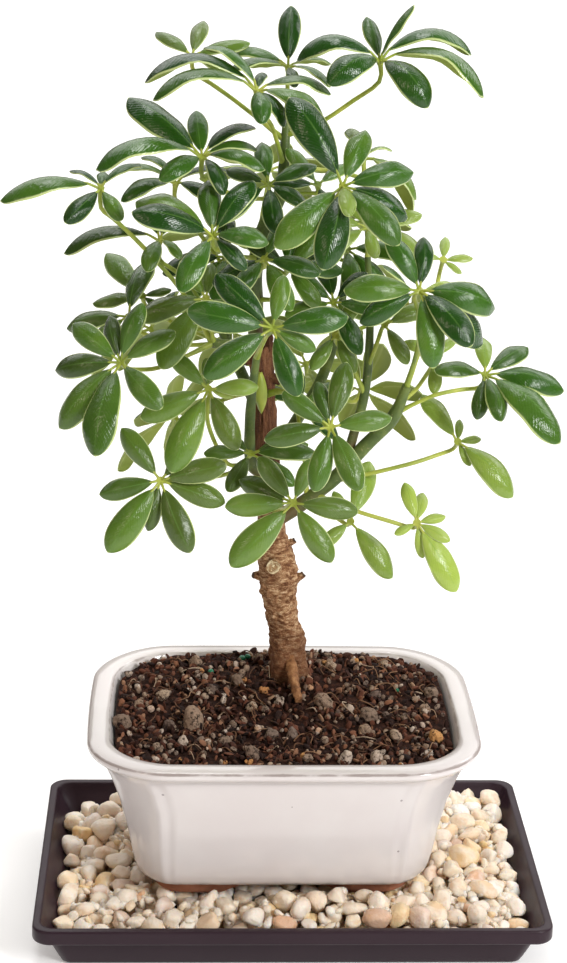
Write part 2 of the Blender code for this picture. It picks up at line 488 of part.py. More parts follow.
# Each whorl: stem, place where its stalk leaves the wood, bends on the way, hub, facing (turn to the
# right of straight ahead, lift above level), usual rise and arch of its leaflets, and the leaflets as
# (bearing round the hub, reach in mm) with a rise, an arch and a roll of their own where they differ;
# a leaflet rolled by a positive angle shows more of its upper face to the front.
WHORLS = {
    "top_right": ("leader", (-2.0, 24.0, 312.0), ((12, 17, 319),), (32, 10, 342), (0, 92), -2, 100,
                  ((12, 36, 4, 125, 14), (-14, 41, -16, 120), (-49, 29, -29, 120, 30), (-140, 27, -14, 120, 40),
                   (172, 31, 0, 130, 34), (112, 20, 52, 50), (-34, 26, 58, 40, 30))),
    "top_centre": ("leader", (-1.8, 25.0, 320.0), (), (-1.5, 28, 337), (0, 92), 4, 85,
                   ((85, 26, 58, 35), (152, 26, 8, 80, 20), (188, 24, -4, 85, 20), (166, 17, 18, 60), (12, 17),
                    (-35, 20, -17), (-80, 14, -25))),
    "top_left": ("leader", (-3.0, 22.5, 301.0), ((-8, 10, 318),), (-14, 0, 332), (0, 92), 0, 100,
                 ((190, 39, -4, 110, 16), (172, 42, 3, 120, 12), (150, 27, 24), (-85, 20, -28), (-56, 19, -36),
                  (-24, 28, -20, 100, 30), (8, 28, -2, 100, 16), (75, 12, 28))),
    "young_top_left": ("leader", (-2.2, 23.5, 310.0), ((-22, 32, 324),), (-38, 38, 339), (-10, 60), 10, 60,
                       ((13, 23), (-20, 19), (84, 19), (146, 19))),
    "upper_left": ("leader", (-4.5, 22.0, 288.0), ((-20, 8, 291),), (-34, -5, 308), (0, 92), 0, 95,
                   ((143, 40, 29, 45, 28), (104, 23, 42, 40, 10), (42, 26, 22, 95, 14), (20, 22, 15, 95, 14),
                    (-22, 25, -6, 95, 30), (186, 40, -5, 105, 28), (222, 22, -16, 100, 45), (-62, 20, -34))),
    "far_left": ("left_stem", (-29.5, 12.0, 232.5), ((-42, 12, 254), (-60, 9, 275)), (-72, 5, 294),
                 (0, 92), 0, 80,
                 ((189, 38, -6, 80, 28), (229, 22, -28, 60, 45), (-58, 18, -32, 60, 30), (30, 19, 24, 90, 10),
                  (150, 15, 22), (100, 12, 35))),
    "centre_left": ("leader", (-12.2, 22.3, 264.0), ((-22, 2, 270),), (-30, -25, 283), (-5, 45), 3, 75,
                    ((156, 32, 3, 95), (179, 32, 8, 85), (97, 24), (62, 26), (-14, 22, 12, 100), (248, 27),
                     (-44, 18, -8))),
    "left_inner": ("left_stem", (-29.0, 12.0, 232.5), ((-37, 20, 252),), (-50, 15, 272), (0, 92), 0, 95,
                   ((187, 37, -8, 95, 18), (250, 20, -25), (-60, 14, -20), (120, 20, 28), (60, 22, 24))),
    "centre_right": ("leader", (-8.6, 21.0, 279.0), ((6, 4, 281),), (17, -25, 302), (10, 35), 0, 75,
                     ((118, 38), (63, 25), (8, 27, 6, 90), (-25, 27, 0, 90), (-50, 31), (-95, 18, 30),
                      (-109, 34),
                      (-136, 34))),
    "front_centre": ("front_stem", (-12.4, 4.5, 229.0), ((-9.5, -16, 243),), (-8, -38, 252), (-5, 24), 2, 60,
                     ((138, 29), (172, 32), (218, 31), (80, 20), (10, 28, 4, 80), (-67, 27), (-24, 18, -14))),
    "left": ("left_stem", (-29.5, 12.0, 232.5), ((-50, 0, 226),), (-64, -15, 232), (-25, 32), 0, 70,
             ((194, 27), (231, 34), (273, 39), (-36, 26), (38, 24), (73, 24), (112, 20), (152, 25))),
    "left_behind": ("left_stem", (-27.0, 12.2, 232.3), ((-46, 20, 230),), (-62, 22, 240), (-30, 50), 0, 80,
                    ((202, 26), (228, 20), (98, 28), (10, 18))),
    "left_middle": ("left_stem", (-29.0, 12.0, 232.5), (), (-32, 5, 252), (-10, 38), 0, 65,
                    ((200, 28), (239, 33), (88, 15), (117, 18), (176, 24), (-25, 20))),
    "young_left": ("front_stem", (-13.8, 9.2, 186.0), ((-23, 7, 185), (-31, -4, 205)), (-31, -12, 221),
                   (-5, 25), 2, 55,
                   ((140, 20), (96, 12), (206, 28), (243, 35), (-62, 26), (4, 19), (-12, 10))),
    "low_left": ("front_stem", (-13.7, 9.5, 184.5), ((-26, 4, 181),), (-49, -20, 187), (-8, 22), 2, 55,
                 ((130, 25), (50, 20), (196, 24), (237, 34), (-64, 30), (15, 27), (258, 20), (-16, 26))),
    "trunk_side": ("front_stem", (-14.2, 8.8, 189.0), (), (-14.5, 1, 191), (10, 50), 0, 60,
                   ((236, 20), (8, 24), (-14, 26), (-44, 22), (176, 19), (130, 14))),
    "low_centre": ("low_front_leaf", (-3.5, 8.0, 166.5), ((-1, -8, 172),), (1.5, -25, 180), (0, 22), 2, 55,
                   ((184, 26), (226, 34), (-57, 27), (-14, 25), (128, 22), (156, 24, -12), (68, 18))),
    "right": ("right_branch", (46.5, 8.5, 217.0), ((50, 0, 240),), (47, -20, 262), (10, 30), 2, 75,
              ((80, 21), (112, 24), (178, 29), (203, 25), (-86, 30), (-60, 31, 4), (-14, 30, 6, 115),
               (-37, 33, -8, 95), (3, 17, -8),
               (-66, 19))),
    "far_right": ("right_branch", (42.0, 9.8, 205.0), ((58, 10, 213),), (77, 10, 221), (15, 55), 0, 80,
                  ((178, 22, 10), (26, 23, 8), (-13, 32), (-54, 41), (-84, 23), (78, 20), (248, 19))),
    "middle": ("middle_leaf", (-4.0, 10.0, 214.0), ((4, -15, 219),), (14, -40, 215), (0, 25), 2, 55,
               ((192, 25), (76, 25), (9, 23), (-104, 25), (-66, 27), (150, 22), (112, 18))),
    "young_top_right": ("right_branch", (46.0, 8.6, 215.5), ((55, 20, 238),), (61, 30, 262), (10, 55), 5, 50,
                        ((75, 12), (0, 12), (-45, 9), (160, 11))),
    "young_right": ("right_branch", (18.0, 15.4, 175.0), ((32, 13, 179), (52, 14, 184)), (68, 15, 192),
                    (10, 40), 0, 55,
                    ((118, 24), (75, 10), (5, 10), (-70, 11), (-52, 31, 0, 80))),
    "right_pale": ("right_branch", (43.5, 9.4, 209.0), ((51, 15, 214),), (59, 22, 225), (5, 40), 0, 60,
                   ((262, 16), (45, 12), (150, 14))),
    "young_low_right": ("right_branch", (12.0, 16.6, 169.5), ((28, 3, 167),), (51, -5, 165), (5, 35), 0, 55,
                        ((206, 10), (102, 17), (72, 15), (12, 12), (-28, 15), (-55, 31), (-80, 14))),
    "low_right": ("right_branch", (8.0, 17.2, 166.0), (), (26, 10, 160), (10, 35), 0, 60,
                  ((216, 16), (66, 27), (-59, 28), (112, 14))),
    "inner_right": ("right_branch", (31.5, 16.0, 222.0), (), (37, 10, 241), (10, 35), 0, 60,
                    ((-60, 18), (150, 20), (20, 20))),
    "inner_centre": ("right_branch", (30.5, 15.4, 212.0), ((24, 11, 226),), (18, 5, 238), (-5, 35), 0, 60,
                     ((-62, 17), (238, 17), (140, 18), (60, 18))),
    "shoot_tip": ("right_branch", (30.5, 19.5, 266.0), (), (30, 20, 277), (0, 50), 5, 60,
                  ((172, 24), (14, 22), (-80, 16), (60, 18), (128, 20), (-28, 26, -6), (214, 22, -6))),
    "left_upright": ("left_stem", (-22.0, 12.6, 231.8), ((-40, 28, 234),), (-57, 35, 245), (-20, 50), 5, 55,
                     ((139, 27), (20, 12), (-10, 13), (200, 20))),
    "behind_right": ("leader", (-2.6, 22.4, 300.0), ((14, 27, 298),), (28, 25, 303), (0, 92), 10, 100,
                     ((25, 13), (-20, 26, -34), (8, 31, -45), (110, 18, 30))),
    "inner_top": ("leader", (-5.0, 22.0, 287.0), (), (10, 12, 295), (0, 50), 0, 60,
                  ((180, 18), (132, 24), (40, 16), (-74, 20))),
    "shade_centre": ("leader", (-12.6, 22.4, 262.0), (), (-1, 12, 262), (10, 40), 0, 80,
                     ((150, 20), (95, 22), (48, 24), (4, 22), (-58, 20))),
    "shade_right": ("leader", (-9.5, 22.0, 277.0), ((8, 30, 270),), (23, 30, 266), (10, 50), 0, 80,
                    ((-12, 25), (-50, 24), (200, 22), (120, 18), (-95, 22))),
    "shade_top": ("leader", (-6.5, 22.0, 283.0), (), (-9, 6, 296), (-10, 45), 0, 75,
                  ((104, 20), (160, 18), (212, 25), (-75, 22), (-28, 18), (30, 20))),
    "shade_middle": ("leader", (-12.2, 23.4, 256.0), (), (-10, 3, 268), (-5, 40), 0, 75,
                     ((200, 22), (238, 20), (-62, 24), (-20, 22), (62, 16))),
    "shade_left": ("leader", (-13.0, 22.5, 259.0), (), (-24, 32, 262), (-15, 50), 0, 80,
                   ((190, 26), (100, 20), (-90, 22), (232, 24))),
    "high_left": ("leader", (-12.6, 25.4, 241.0), ((-28, 34, 262),), (-44, 26, 292), (0, 92), 0, 100,
                  ((176, 26, 6, 100, 12), (208, 24, -12, 100, 30), (150, 18, 30), (14, 22, 10, 95, 14),
                   (-36, 20, -14, 95, 30))),
    "inner_low": ("leader", (-12.8, 24.6, 247.0), (), (17, 9, 250), (5, 40), 0, 65,
                  ((96, 22), (140, 20), (196, 20), (-62, 24), (-18, 20), (40, 18))),
    "low_inner": ("right_branch", (9.0, 17.0, 167.0), (), (6, 24, 204), (10, 45), 0, 60,
                  ((148, 18), (24, 22), (90, 18), (-50, 20))),
}

# Whorls on the far side, which the photograph shows only through gaps: stem, start, hub, facing
FAR_WHORLS = {
    "far_side_1": ("back_left_stem", (-29.0, 46.0, 248.0), (-30, 52, 266), (170, 62)),
    "far_side_2": ("back_left_stem", (-25.0, 40.0, 230.0), (-54, 50, 228), (235, 40)),
    "far_side_3": ("back_left_stem", (-19.0, 33.5, 218.0), (-22, 62, 224), (185, 35)),
    "far_side_4": ("back_left_stem", (-14.0, 27.5, 208.5), (-44, 34, 196), (225, 25)),
    "far_side_5": ("back_right_stem", (24.0, 54.0, 250.0), (25, 58, 270), (165, 60)),
    "far_side_6": ("back_right_stem", (20.0, 47.5, 224.0), (50, 52, 238), (125, 45)),
    "far_side_7": ("back_right_stem", (13.0, 40.5, 207.0), (10, 66, 209), (180, 30)),
    "far_side_8": ("back_right_stem", (8.0, 35.5, 200.0), (32, 52, 202), (150, 28)),
    "far_side_9": ("leader", (-12.6, 22.6, 262.0), (-8, 54, 292), (180, 52)),
}


def far_leaflets(draw):
    """Six leaflets spread evenly round the hub, each a little off its place."""
    start = draw.uniform(0, 60)
    return tuple((start + i * 60 + draw.uniform(-9, 9), draw.uniform(24, 33)) for i in range(6))


def whorl_list():
    draw = random.Random(19)
    whorls = [(name, *row) for name, row in WHORLS.items()]
    for name, (stem, start, hub, facing) in FAR_WHORLS.items():
        whorls.append((name, stem, start, (), hub, facing, 0, 60, far_leaflets(draw)))
    return whorls


def facing_axes(facing):
    turn, lift = (math.radians(angle) for angle in facing)
    face = Vector((math.sin(turn) * math.cos(lift), -math.cos(turn) * math.cos(lift), math.sin(lift)))
    right = Vector((math.cos(turn), math.sin(turn), 0.0))
    return face, right, face.cross(right)


def stalk_line(start, bends, hub, facing, sway):
    """The leaf stalk: out of the wood, through its bends, and along the whorl's facing at the hub."""
    face = facing_axes(facing)[0]
    hub = Vector(hub)
    start = Vector(start)
    length = (hub - start).length
    approach = hub - face * min(0.22 * length, 7.0) + Vector(sway) * 0.5
    middle = [Vector(bend) + Vector(sway) for bend in bends] or [start.lerp(hub, 0.45) + Vector(sway)]
    slim = 0.85
    line = smooth_line([(*start, 1.1)] + [(*bend, slim) for bend in middle] + [(*approach, slim)], 2)
    return line + [(*(hub + face * 0.9), 2.0)]


def blade_width(share):
    """Half width of a blade along it, 1 at its broadest: a narrow foot and a round end."""
    if share < BLADE_BROADEST:
        return math.sin(math.pi / 2 * share / BLADE_BROADEST) ** 0.68
    return math.sqrt(max(1 - ((share - BLADE_BROADEST) / (1 - BLADE_BROADEST)) ** 2, 0.0))


class Leaflet:
    """One leaflet: a short stalk and an arched blade that leave the hub in a given direction."""

    def __init__(self, hub, facing, bearing, reach, rise, arch, roll):
        self.reach = reach
        face, right, up = facing_axes(facing)
        around, above = math.radians(bearing), math.radians(rise)
        self.hub = Vector(hub)
        self.out = math.cos(above) * (math.cos(around) * right + math.sin(around) * up) + math.sin(above) * face
        self.normal = (face - self.out * face.dot(self.out)).normalized()
        if facing[1] > 80:
            roll -= TURNED_BACK * abs(self.out.x) ** 3
        forward = 1 if self.out.cross(self.normal).y < 0 else -1
        self.normal.rotate(Quaternion(self.out, math.radians(roll) * forward))
        self.side = self.normal.cross(self.out)
        self.half_arch = math.radians(arch) / 2
        steps = 24
        self.angles = [self.half_arch - 2 * self.half_arch * (i / steps) ** 1.3 for i in range(steps + 1)]
        self.track = [(0.0, 0.0)]
        for before, after in zip(self.angles, self.angles[1:]):
            along, above = self.track[-1]
            middle = (before + after) / 2
            self.track.append((along + math.cos(middle) / steps, above + math.sin(middle) / steps))
        end = self.track[-1]
        self.length = reach / math.hypot(*end)
        self.turn = -math.atan2(end[1], end[0])

    def row(self, t):
        """Centre, direction and upper normal at a share of the leaflet's length."""
        place = min(max(t, 0.0), 1.0) * (len(self.track) - 1)
        i = min(int(place), len(self.track) - 2)
        part = place - i
        along = (self.track[i][0] * (1 - part) + self.track[i + 1][0] * part) * self.length
        above = (self.track[i][1] * (1 - part) + self.track[i + 1][1] * part) * self.length
        angle = self.angles[i] * (1 - part) + self.angles[i + 1] * part + self.turn
        c, s = math.cos(self.turn), math.sin(self.turn)
        centre = self.hub + self.out * (along * c - above * s) + self.normal * (along * s + above * c)
        return (centre, self.out * math.cos(angle) + self.normal * math.sin(angle),
                self.normal * math.cos(angle) - self.out * math.sin(angle))

    def half_width(self, t):
        """Half the blade's width: slim stalk, then a blade that is broadest past its middle."""
        if t < LEAFLET_STALK:
            return 0.5
        blade = (t - LEAFLET_STALK) / (1 - LEAFLET_STALK)
        full = LEAFLET_ASPECT * self.length * (1 - LEAFLET_STALK) / 2
        return max(full * blade_width(blade), 0.6)

    def rings(self, shares, pad=0.0):
        """Sections of an edge, the raised middle and the other edge, and at last the tip."""
        rings = []
        for t in shares:
            centre, direction, normal = self.row(t)
            half = self.half_width(t) + 1.5 * pad
            drop = max(0.28 * half, BLADE_THICK / 2) + pad
            rings.append([centre + self.side * half - normal * drop, centre + normal * (BLADE_THICK / 2 + pad),
                          centre - self.side * half - normal * drop])
        centre, direction, normal = self.row(1.0)
        return rings + [[centre - normal * BLADE_THICK / 2 + direction * pad]]

    def shares(self, start):
        blade = (0.36, 0.62, 0.88) if self.reach >= 28 else (0.44, 0.82)
        return [start] + [share for share in (LEAFLET_STALK, *blade) if share > start + 0.02]


def solid_faces(rings):
    """Corner points and triangles of a closed solid through rings; the last may be a single tip."""
    points = [point for ring in rings for point in ring]
    count = len(rings[0])
    faces = [(0, i, i + 1) for i in range(1, count - 1)]
    for k in range(len(rings) - 1):
        for i in range(count):
            j = (i + 1) % count
            a, b, c, d = count * k + i, count * k + j, count * (k + 1) + j, count * (k + 1) + i
            if len(rings[k + 1]) == 1:
                faces.append((a, count * (k + 1), b))
            elif i == 1:
                faces += [(a, d, c), (a, c, b)]
            else:
                faces += [(a, d, b), (b, d, c)]
    if len(rings[-1]) > 1:
        last = count * (len(rings) - 1)
        faces += [(last, last + i + 1, last + i) for i in range(1, count - 1)]
    return points, faces


def tube_rings(line, pad):
    """Square sections round a line, enough to tell what comes near it."""
    rings = []
    for i, (x, y, z, radius) in enumerate(line):
        before, after = Vector(line[max(i - 1, 0)][:3]), Vector(line[min(i + 1, len(line) - 1)][:3])
        ahead = (after - before).normalized()
        across = ahead.orthogonal() if i == 0 else across - ahead * across.dot(ahead)
        across.normalize()
        other = ahead.cross(across)
        size = (radius + pad) * 1.25
        centre = Vector((x, y, z))
        rings.append([centre + across * size, centre + other * size,
                      centre - across * size, centre - other * size])
    return rings


class Body:
    """A thickened copy of something already in place, to test newcomers against."""

    def __init__(self, rings, owner):
        points, faces = solid_faces(rings)
        self.owner = owner
        self.tree = BVHTree.FromPolygons(points, faces)
        self.low = Vector(map(min, *points))
        self.high = Vector(map(max, *points))

    def meets(self, other):
        if any(self.low[i] > other.high[i] or other.low[i] > self.high[i] for i in range(3)):
            return False
        return bool(self.tree.overlap(other.tree))


# How a leaflet may give way: swing round the hub, change of rise, change of length
GIVE_WAY = [(0, 0, 1.0)] + [
    (swing, rise, scale) for scale in (1.0, 0.9, 0.78) for swing, rise in
    ((6, 0), (-6, 0), (0, 9), (0, -9), (6, 9), (-6, 9), (6, -9), (-6, -9), (13, 0), (-13, 0),
     (0, 18), (0, -18), (13, 12), (-13, 12), (13, -12), (-13, -12))]
SWAYS = [(0, 0, 0)] + [
    (x * reach, y * reach, z * reach) for reach in (3, 6) for x, y, z in
    ((1, 0, 0), (-1, 0, 0), (0, 1, 0), (0, -1, 0), (0, 0, 1), (0, 0, -1))]


def grow_plant():
    """Work out every stalk and leaflet so that none runs through another."""
    wood = [Body(tube_rings(smooth_line(TRUNK_LINE, 2), CLEARANCE), "trunk")]
    for root, tip, wide, slim in TWIG_STUBS + STUMP_SPLINTERS:
        wood.append(Body(tube_rings([(*root, wide), (*tip, slim)], CLEARANCE), "trunk"))
    for name, line in STEMS.items():
        wood.append(Body(tube_rings(smooth_line(line, 2), CLEARANCE), name))
    wood.append(Body(tube_rings(smooth_line(UPRIGHT_SHOOT, 2), CLEARANCE), "right_branch"))
    stalks = []
    whorls = whorl_list()
    for name, stem, start, bends, hub, facing, rise, arch, leaflets in whorls:
        for sway in SWAYS:
            line = stalk_line(start, bends, hub, facing, sway)
            body = Body(tube_rings(line, CLEARANCE), name)
            free = Body(tube_rings(line[2:], CLEARANCE), name)
            others = [item for item in wood if item.owner != stem] + [item[2] for item in stalks]
            if not any((body if other.owner in STEMS or other.owner == "trunk" else free).meets(other)
                       for other in others):
                break
        stalks.append((name, line, free, body))
    placed = []
    for (name, stem, start, bends, hub, facing, rise, arch, leaflets), stalk in zip(whorls, stalks):
        for number, row in enumerate(leaflets):
            bearing, reach = row[:2]
            own_rise, own_arch, roll = (*row[2:], *(rise, arch, 0)[len(row) - 2:])
            for swing, lift, scale in GIVE_WAY:
                leaflet = Leaflet(hub, facing, bearing + swing, reach * scale, own_rise + lift, own_arch, roll)
                whole = Body(leaflet.rings(leaflet.shares(0.06), CLEARANCE), name)
                outer = Body(leaflet.rings(leaflet.shares(0.30), CLEARANCE), name)
                if whole.low.z < 96.0:
                    continue
                if any(whole.meets(item) for item in wood):
                    continue
                if any((outer.meets(item[3]) if item[0] == name else whole.meets(item[3])) for item in stalks):
                    continue
                if any((outer.meets(item[3]) if item[0] == name else whole.meets(item[2])) for item in placed):
                    continue
                placed.append((name, leaflet, whole, outer, stem, number))
                break
    return [item[:2] for item in stalks], [(item[0], item[4], item[5], item[1]) for item in placed]


def leaflet_object(leaflet, group):
    points, faces = solid_faces(leaflet.rings(leaflet.shares(0.8 / leaflet.length)))
    mesh = bpy.data.meshes.new("leaflet")
    mesh.from_pydata([point * MM for point in points], [], faces)
    shape = bmesh.new()
    shape.from_mesh(mesh)
    bmesh.ops.recalc_face_normals(shape, faces=shape.faces)
    shape.to_mesh(mesh)
    shape.free()
    item = bpy.data.objects.new("leaflet", mesh)
    group.objects.link(item)
    return item


def make_sprays(group):
    stalks, leaflets = grow_plant()
    green = paint("umbrella_leaf", (0.045, 0.17, 0.035), 0.35)
    stem_of = {row[0]: row[1] for row in whorl_list()}
    for stem, line in STEMS.items():
        spray = tube(stem, smooth_line(line, 2), group, 6)
        parts = new_collection("spray_parts")
        if stem == "right_branch":
            tube("upright_shoot", smooth_line(UPRIGHT_SHOOT, 2), parts, 6)
        for name, stalk in stalks:
            if stem_of[name] == stem:
                tube("stalk", stalk[:-1:2] + stalk[-1:], parts, 4)
        for name, owner, number, leaflet in leaflets:
            if owner == stem:
                leaflet_object(leaflet, parts)
        combine(spray, "UNION", parts)
        seat = new_collection("trunk_seat")
        trunk_pieces(seat, GAP)
        combine(spray, "DIFFERENCE", seat)
        settle_mesh(spray)
        spray.data.materials.clear()
        spray.data.materials.append(green)
    print("leaflets placed:", len(leaflets), "of", sum(len(row[-1]) for row in whorl_list()))


clear_scene()
bonsai = new_collection("bonsai_tree")
make_tray(bonsai)
make_pebbles(bonsai)
make_pot(bonsai)
make_screens(bonsai)
make_soil(bonsai)
make_trunk(bonsai)
make_sprays(bonsai)
for piece in bonsai.objects:
    if piece.name not in ("tray", "pebble_bed"):
        stand_in_tray(piece)
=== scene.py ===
import math
import random

import bmesh
import bpy
import numpy as np
from mathutils import Matrix, Quaternion, Vector, noise
from mathutils.bvhtree import BVHTree


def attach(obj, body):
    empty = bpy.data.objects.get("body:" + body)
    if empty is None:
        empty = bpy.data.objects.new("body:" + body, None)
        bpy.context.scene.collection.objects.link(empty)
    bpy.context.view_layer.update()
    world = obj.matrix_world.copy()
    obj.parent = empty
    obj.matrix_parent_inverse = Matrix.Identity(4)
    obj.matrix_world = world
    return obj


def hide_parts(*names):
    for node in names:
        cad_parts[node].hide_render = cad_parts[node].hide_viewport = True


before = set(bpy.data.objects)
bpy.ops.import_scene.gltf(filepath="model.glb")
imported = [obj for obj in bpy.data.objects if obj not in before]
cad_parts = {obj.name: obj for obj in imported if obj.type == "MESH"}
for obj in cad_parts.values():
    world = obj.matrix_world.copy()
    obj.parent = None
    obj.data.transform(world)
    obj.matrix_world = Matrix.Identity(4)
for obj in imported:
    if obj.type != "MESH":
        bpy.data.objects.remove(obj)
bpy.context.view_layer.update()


# Humidity tray
# A shallow tray of dark plastic, drawn down over a mould: flanged lip, a step under it and walls that
# narrow to a flat base. Soft edges, a fine moulded grain and a little dust on the lip and in the corners.

MM = 0.001
TRAY_LENGTH = 202.5
TRAY_DEPTH = 133.7
TRAY_HEIGHT = 20.0
TRAY_WALL = 1.9
TRAY_CORNER = 7.0


def rounded_ring(half_x, half_y, corner, z, steps=12):
    """Points in mm of a rectangle with round corners."""
    points = []
    for sign_x, sign_y, start in ((1, 1, 0), (-1, 1, 90), (-1, -1, 180), (1, -1, 270)):
        for step in range(steps + 1):
            angle = math.radians(start + 90 * step / steps)
            points.append((sign_x * (half_x - corner) + corner * math.cos(angle),
                           sign_y * (half_y - corner) + corner * math.sin(angle), z))
    return points


def loft_faces(rings, capped=True):
    """Quads between loops of one length, with a flat cap at either end unless it runs back into itself."""
    rings = np.asarray(rings, dtype=float)
    rows, count = rings.shape[:2]
    faces = []
    for row in range(rows - 1):
        for i in range(count):
            j = (i + 1) % count
            faces.append((row * count + i, row * count + j, (row + 1) * count + j, (row + 1) * count + i))
    if capped:
        faces.append(tuple(range(count))[::-1])
        faces.append(tuple(range((rows - 1) * count, rows * count)))
    return rings.reshape(-1, 3), faces


def shape_piece(name, points, faces, materials, slots=None, values=None, sharp=40.0, place=(0.0, 0.0)):
    """A mesh object from points in mm, with its materials and its values per point."""
    mesh = bpy.data.meshes.new(name)
    points = (np.asarray(points, dtype=float) + (*place, 0.0)) * MM
    mesh.from_pydata(points.tolist(), [], faces)
    for material in materials:
        mesh.materials.append(material)
    if slots is not None:
        mesh.polygons.foreach_set("material_index", slots)
    for key, data in (values or {}).items():
        data = np.asarray(data, dtype=np.float32)
        vector = data.ndim == 2
        layer = mesh.attributes.new(key, "FLOAT_VECTOR" if vector else "FLOAT", "POINT")
        layer.data.foreach_set("vector" if vector else "value", data.ravel())
    mesh.shade_smooth()
    mesh.set_sharp_from_angle(angle=math.radians(sharp))
    piece = bpy.data.objects.new(name, mesh)
    bpy.context.scene.collection.objects.link(piece)
    return piece


def node_in(tree, kind, inputs=None, **settings):
    """A shader node with its settings; an input is a number, a colour or another node's output."""
    node = tree.nodes.new(kind)
    for key, value in settings.items():
        setattr(node, key, value)
    for key, value in (inputs or {}).items():
        if isinstance(value, bpy.types.NodeSocket):
            tree.links.new(value, node.inputs[key])
        else:
            node.inputs[key].default_value = value
    return node


def calc(tree, operation, first, second=0.0):
    return node_in(tree, "ShaderNodeMath", {0: first, 1: second}, operation=operation).outputs[0]


def scaled(tree, value, factor, plus=0.0):
    """A value times a factor, plus another value."""
    return node_in(tree, "ShaderNodeMath", {0: value, 1: factor, 2: plus},
                   operation="MULTIPLY_ADD").outputs[0]


def between(tree, value, low, high):
    """0 below low, 1 above high and a soft step between them; the other way round if low is the higher."""
    return node_in(tree, "ShaderNodeMapRange", {"Value": value, "From Min": low, "From Max": high},
                   interpolation_type="SMOOTHSTEP").outputs[0]


def blend_colour(tree, share, under, over, strength=1.0):
    """One colour over another, by a share that changes over the surface."""
    under, over = (colour if isinstance(colour, bpy.types.NodeSocket) else (*colour, 1.0)
                   for colour in (under, over))
    share = share if strength == 1.0 else scaled(tree, share, strength)
    return node_in(tree, "ShaderNodeMix", {0: share, 6: under, 7: over}, data_type="RGBA").outputs[2]


def colour_steps(tree, value, steps):
    """Colours laid out along a value from 0 to 1."""
    ramp = node_in(tree, "ShaderNodeValToRGB", {0: value})
    elements = ramp.color_ramp.elements
    while len(elements) < len(steps):
        elements.new(0.5)
    for element, (place, colour) in zip(elements, steps):
        element.position = place
        element.color = (*colour, 1.0)
    return ramp.outputs[0]


def point_value(tree, name, vector=False):
    node = node_in(tree, "ShaderNodeAttribute", attribute_name=name)
    return node.outputs["Vector" if vector else "Fac"]


def part_of(tree, vector, axis):
    return node_in(tree, "ShaderNodeSeparateXYZ", {0: vector}).outputs[axis]


def here(tree):
    return node_in(tree, "ShaderNodeTexCoord").outputs["Object"]


def cloud(tree, scale, detail=3.0, roughness=0.55, place=None):
    """Soft random patches; the scale counts them along one metre."""
    return node_in(tree, "ShaderNodeTexNoise", {
        "Vector": place or here(tree), "Scale": scale, "Detail": detail,
        "Roughness": roughness}).outputs["Fac"]


def finish_of(name, roughness=0.5, **fixed):
    """A Principled material; the fixed values are set on the shader itself."""
    material = bpy.data.materials.new(name)
    material.use_nodes = True
    tree = material.node_tree
    shader = tree.nodes["Principled BSDF"]
    shader.inputs["Roughness"].default_value = roughness
    for key, value in fixed.items():
        shader.inputs[key.replace("_", " ")].default_value = value
    return material, tree, shader


# Relief that the finishes share: two layers of grain, a coarse one and a fine one
RELIEF = bpy.data.node_groups.new("surface_relief", "ShaderNodeTree")
RELIEF_INPUTS = ("Coarse Scale", "Fine Scale", "Fine Share", "Strength", "Distance")
for label in RELIEF_INPUTS:
    RELIEF.interface.new_socket(name=label, in_out="INPUT", socket_type="NodeSocketFloat")
for label, kind in (("Height", "NodeSocketFloat"), ("Normal", "NodeSocketVector")):
    RELIEF.interface.new_socket(name=label, in_out="OUTPUT", socket_type=kind)
relief_in = RELIEF.nodes.new("NodeGroupInput").outputs
relief_out = RELIEF.nodes.new("NodeGroupOutput").inputs
relief_height = node_in(RELIEF, "ShaderNodeMix", {
    0: relief_in["Fine Share"], 2: cloud(RELIEF, relief_in["Coarse Scale"], 4.0, 0.5),
    3: cloud(RELIEF, relief_in["Fine Scale"], 2.0, 0.5)}, data_type="FLOAT").outputs[0]
relief_bump = node_in(RELIEF, "ShaderNodeBump", {
    "Strength": relief_in["Strength"], "Distance": relief_in["Distance"], "Height": relief_height})
RELIEF.links.new(relief_height, relief_out["Height"])
RELIEF.links.new(relief_bump.outputs["Normal"], relief_out["Normal"])


def lay_on(tree, shader, colour, *grain):
    """Give the shader its colour, and relief by the group's five values."""
    relief = node_in(tree, "ShaderNodeGroup", dict(zip(RELIEF_INPUTS, grain)), node_tree=RELIEF)
    tree.links.new(colour, shader.inputs["Base Color"])
    tree.links.new(relief.outputs["Normal"], shader.inputs["Normal"])


tray_plastic, tree, shader = finish_of("dark_tray_plastic", 0.45, Specular_IOR_Level=0.25)
tray_tone = blend_colour(tree, cloud(tree, 28, 4), (0.021, 0.009, 0.015), (0.033, 0.017, 0.025))
faces_up = part_of(tree, node_in(tree, "ShaderNodeNewGeometry").outputs["Normal"], "Z")
dust_patches = between(tree, cloud(tree, 45, 6, 0.7), 0.42, 0.75)
tray_dust = scaled(tree, calc(tree, "MULTIPLY", between(tree, faces_up, 0.2, 1.0), dust_patches), 0.05)
lay_on(tree, shader, blend_colour(tree, tray_dust, tray_tone, (0.30, 0.25, 0.21)),
       35, 1800, 0.55, 0.22, 0.0003)
tray_wear = scaled(tree, cloud(tree, 70, 5), 0.22, 0.26)
tree.links.new(calc(tree, "ADD", tray_wear, tray_dust), shader.inputs["Roughness"])

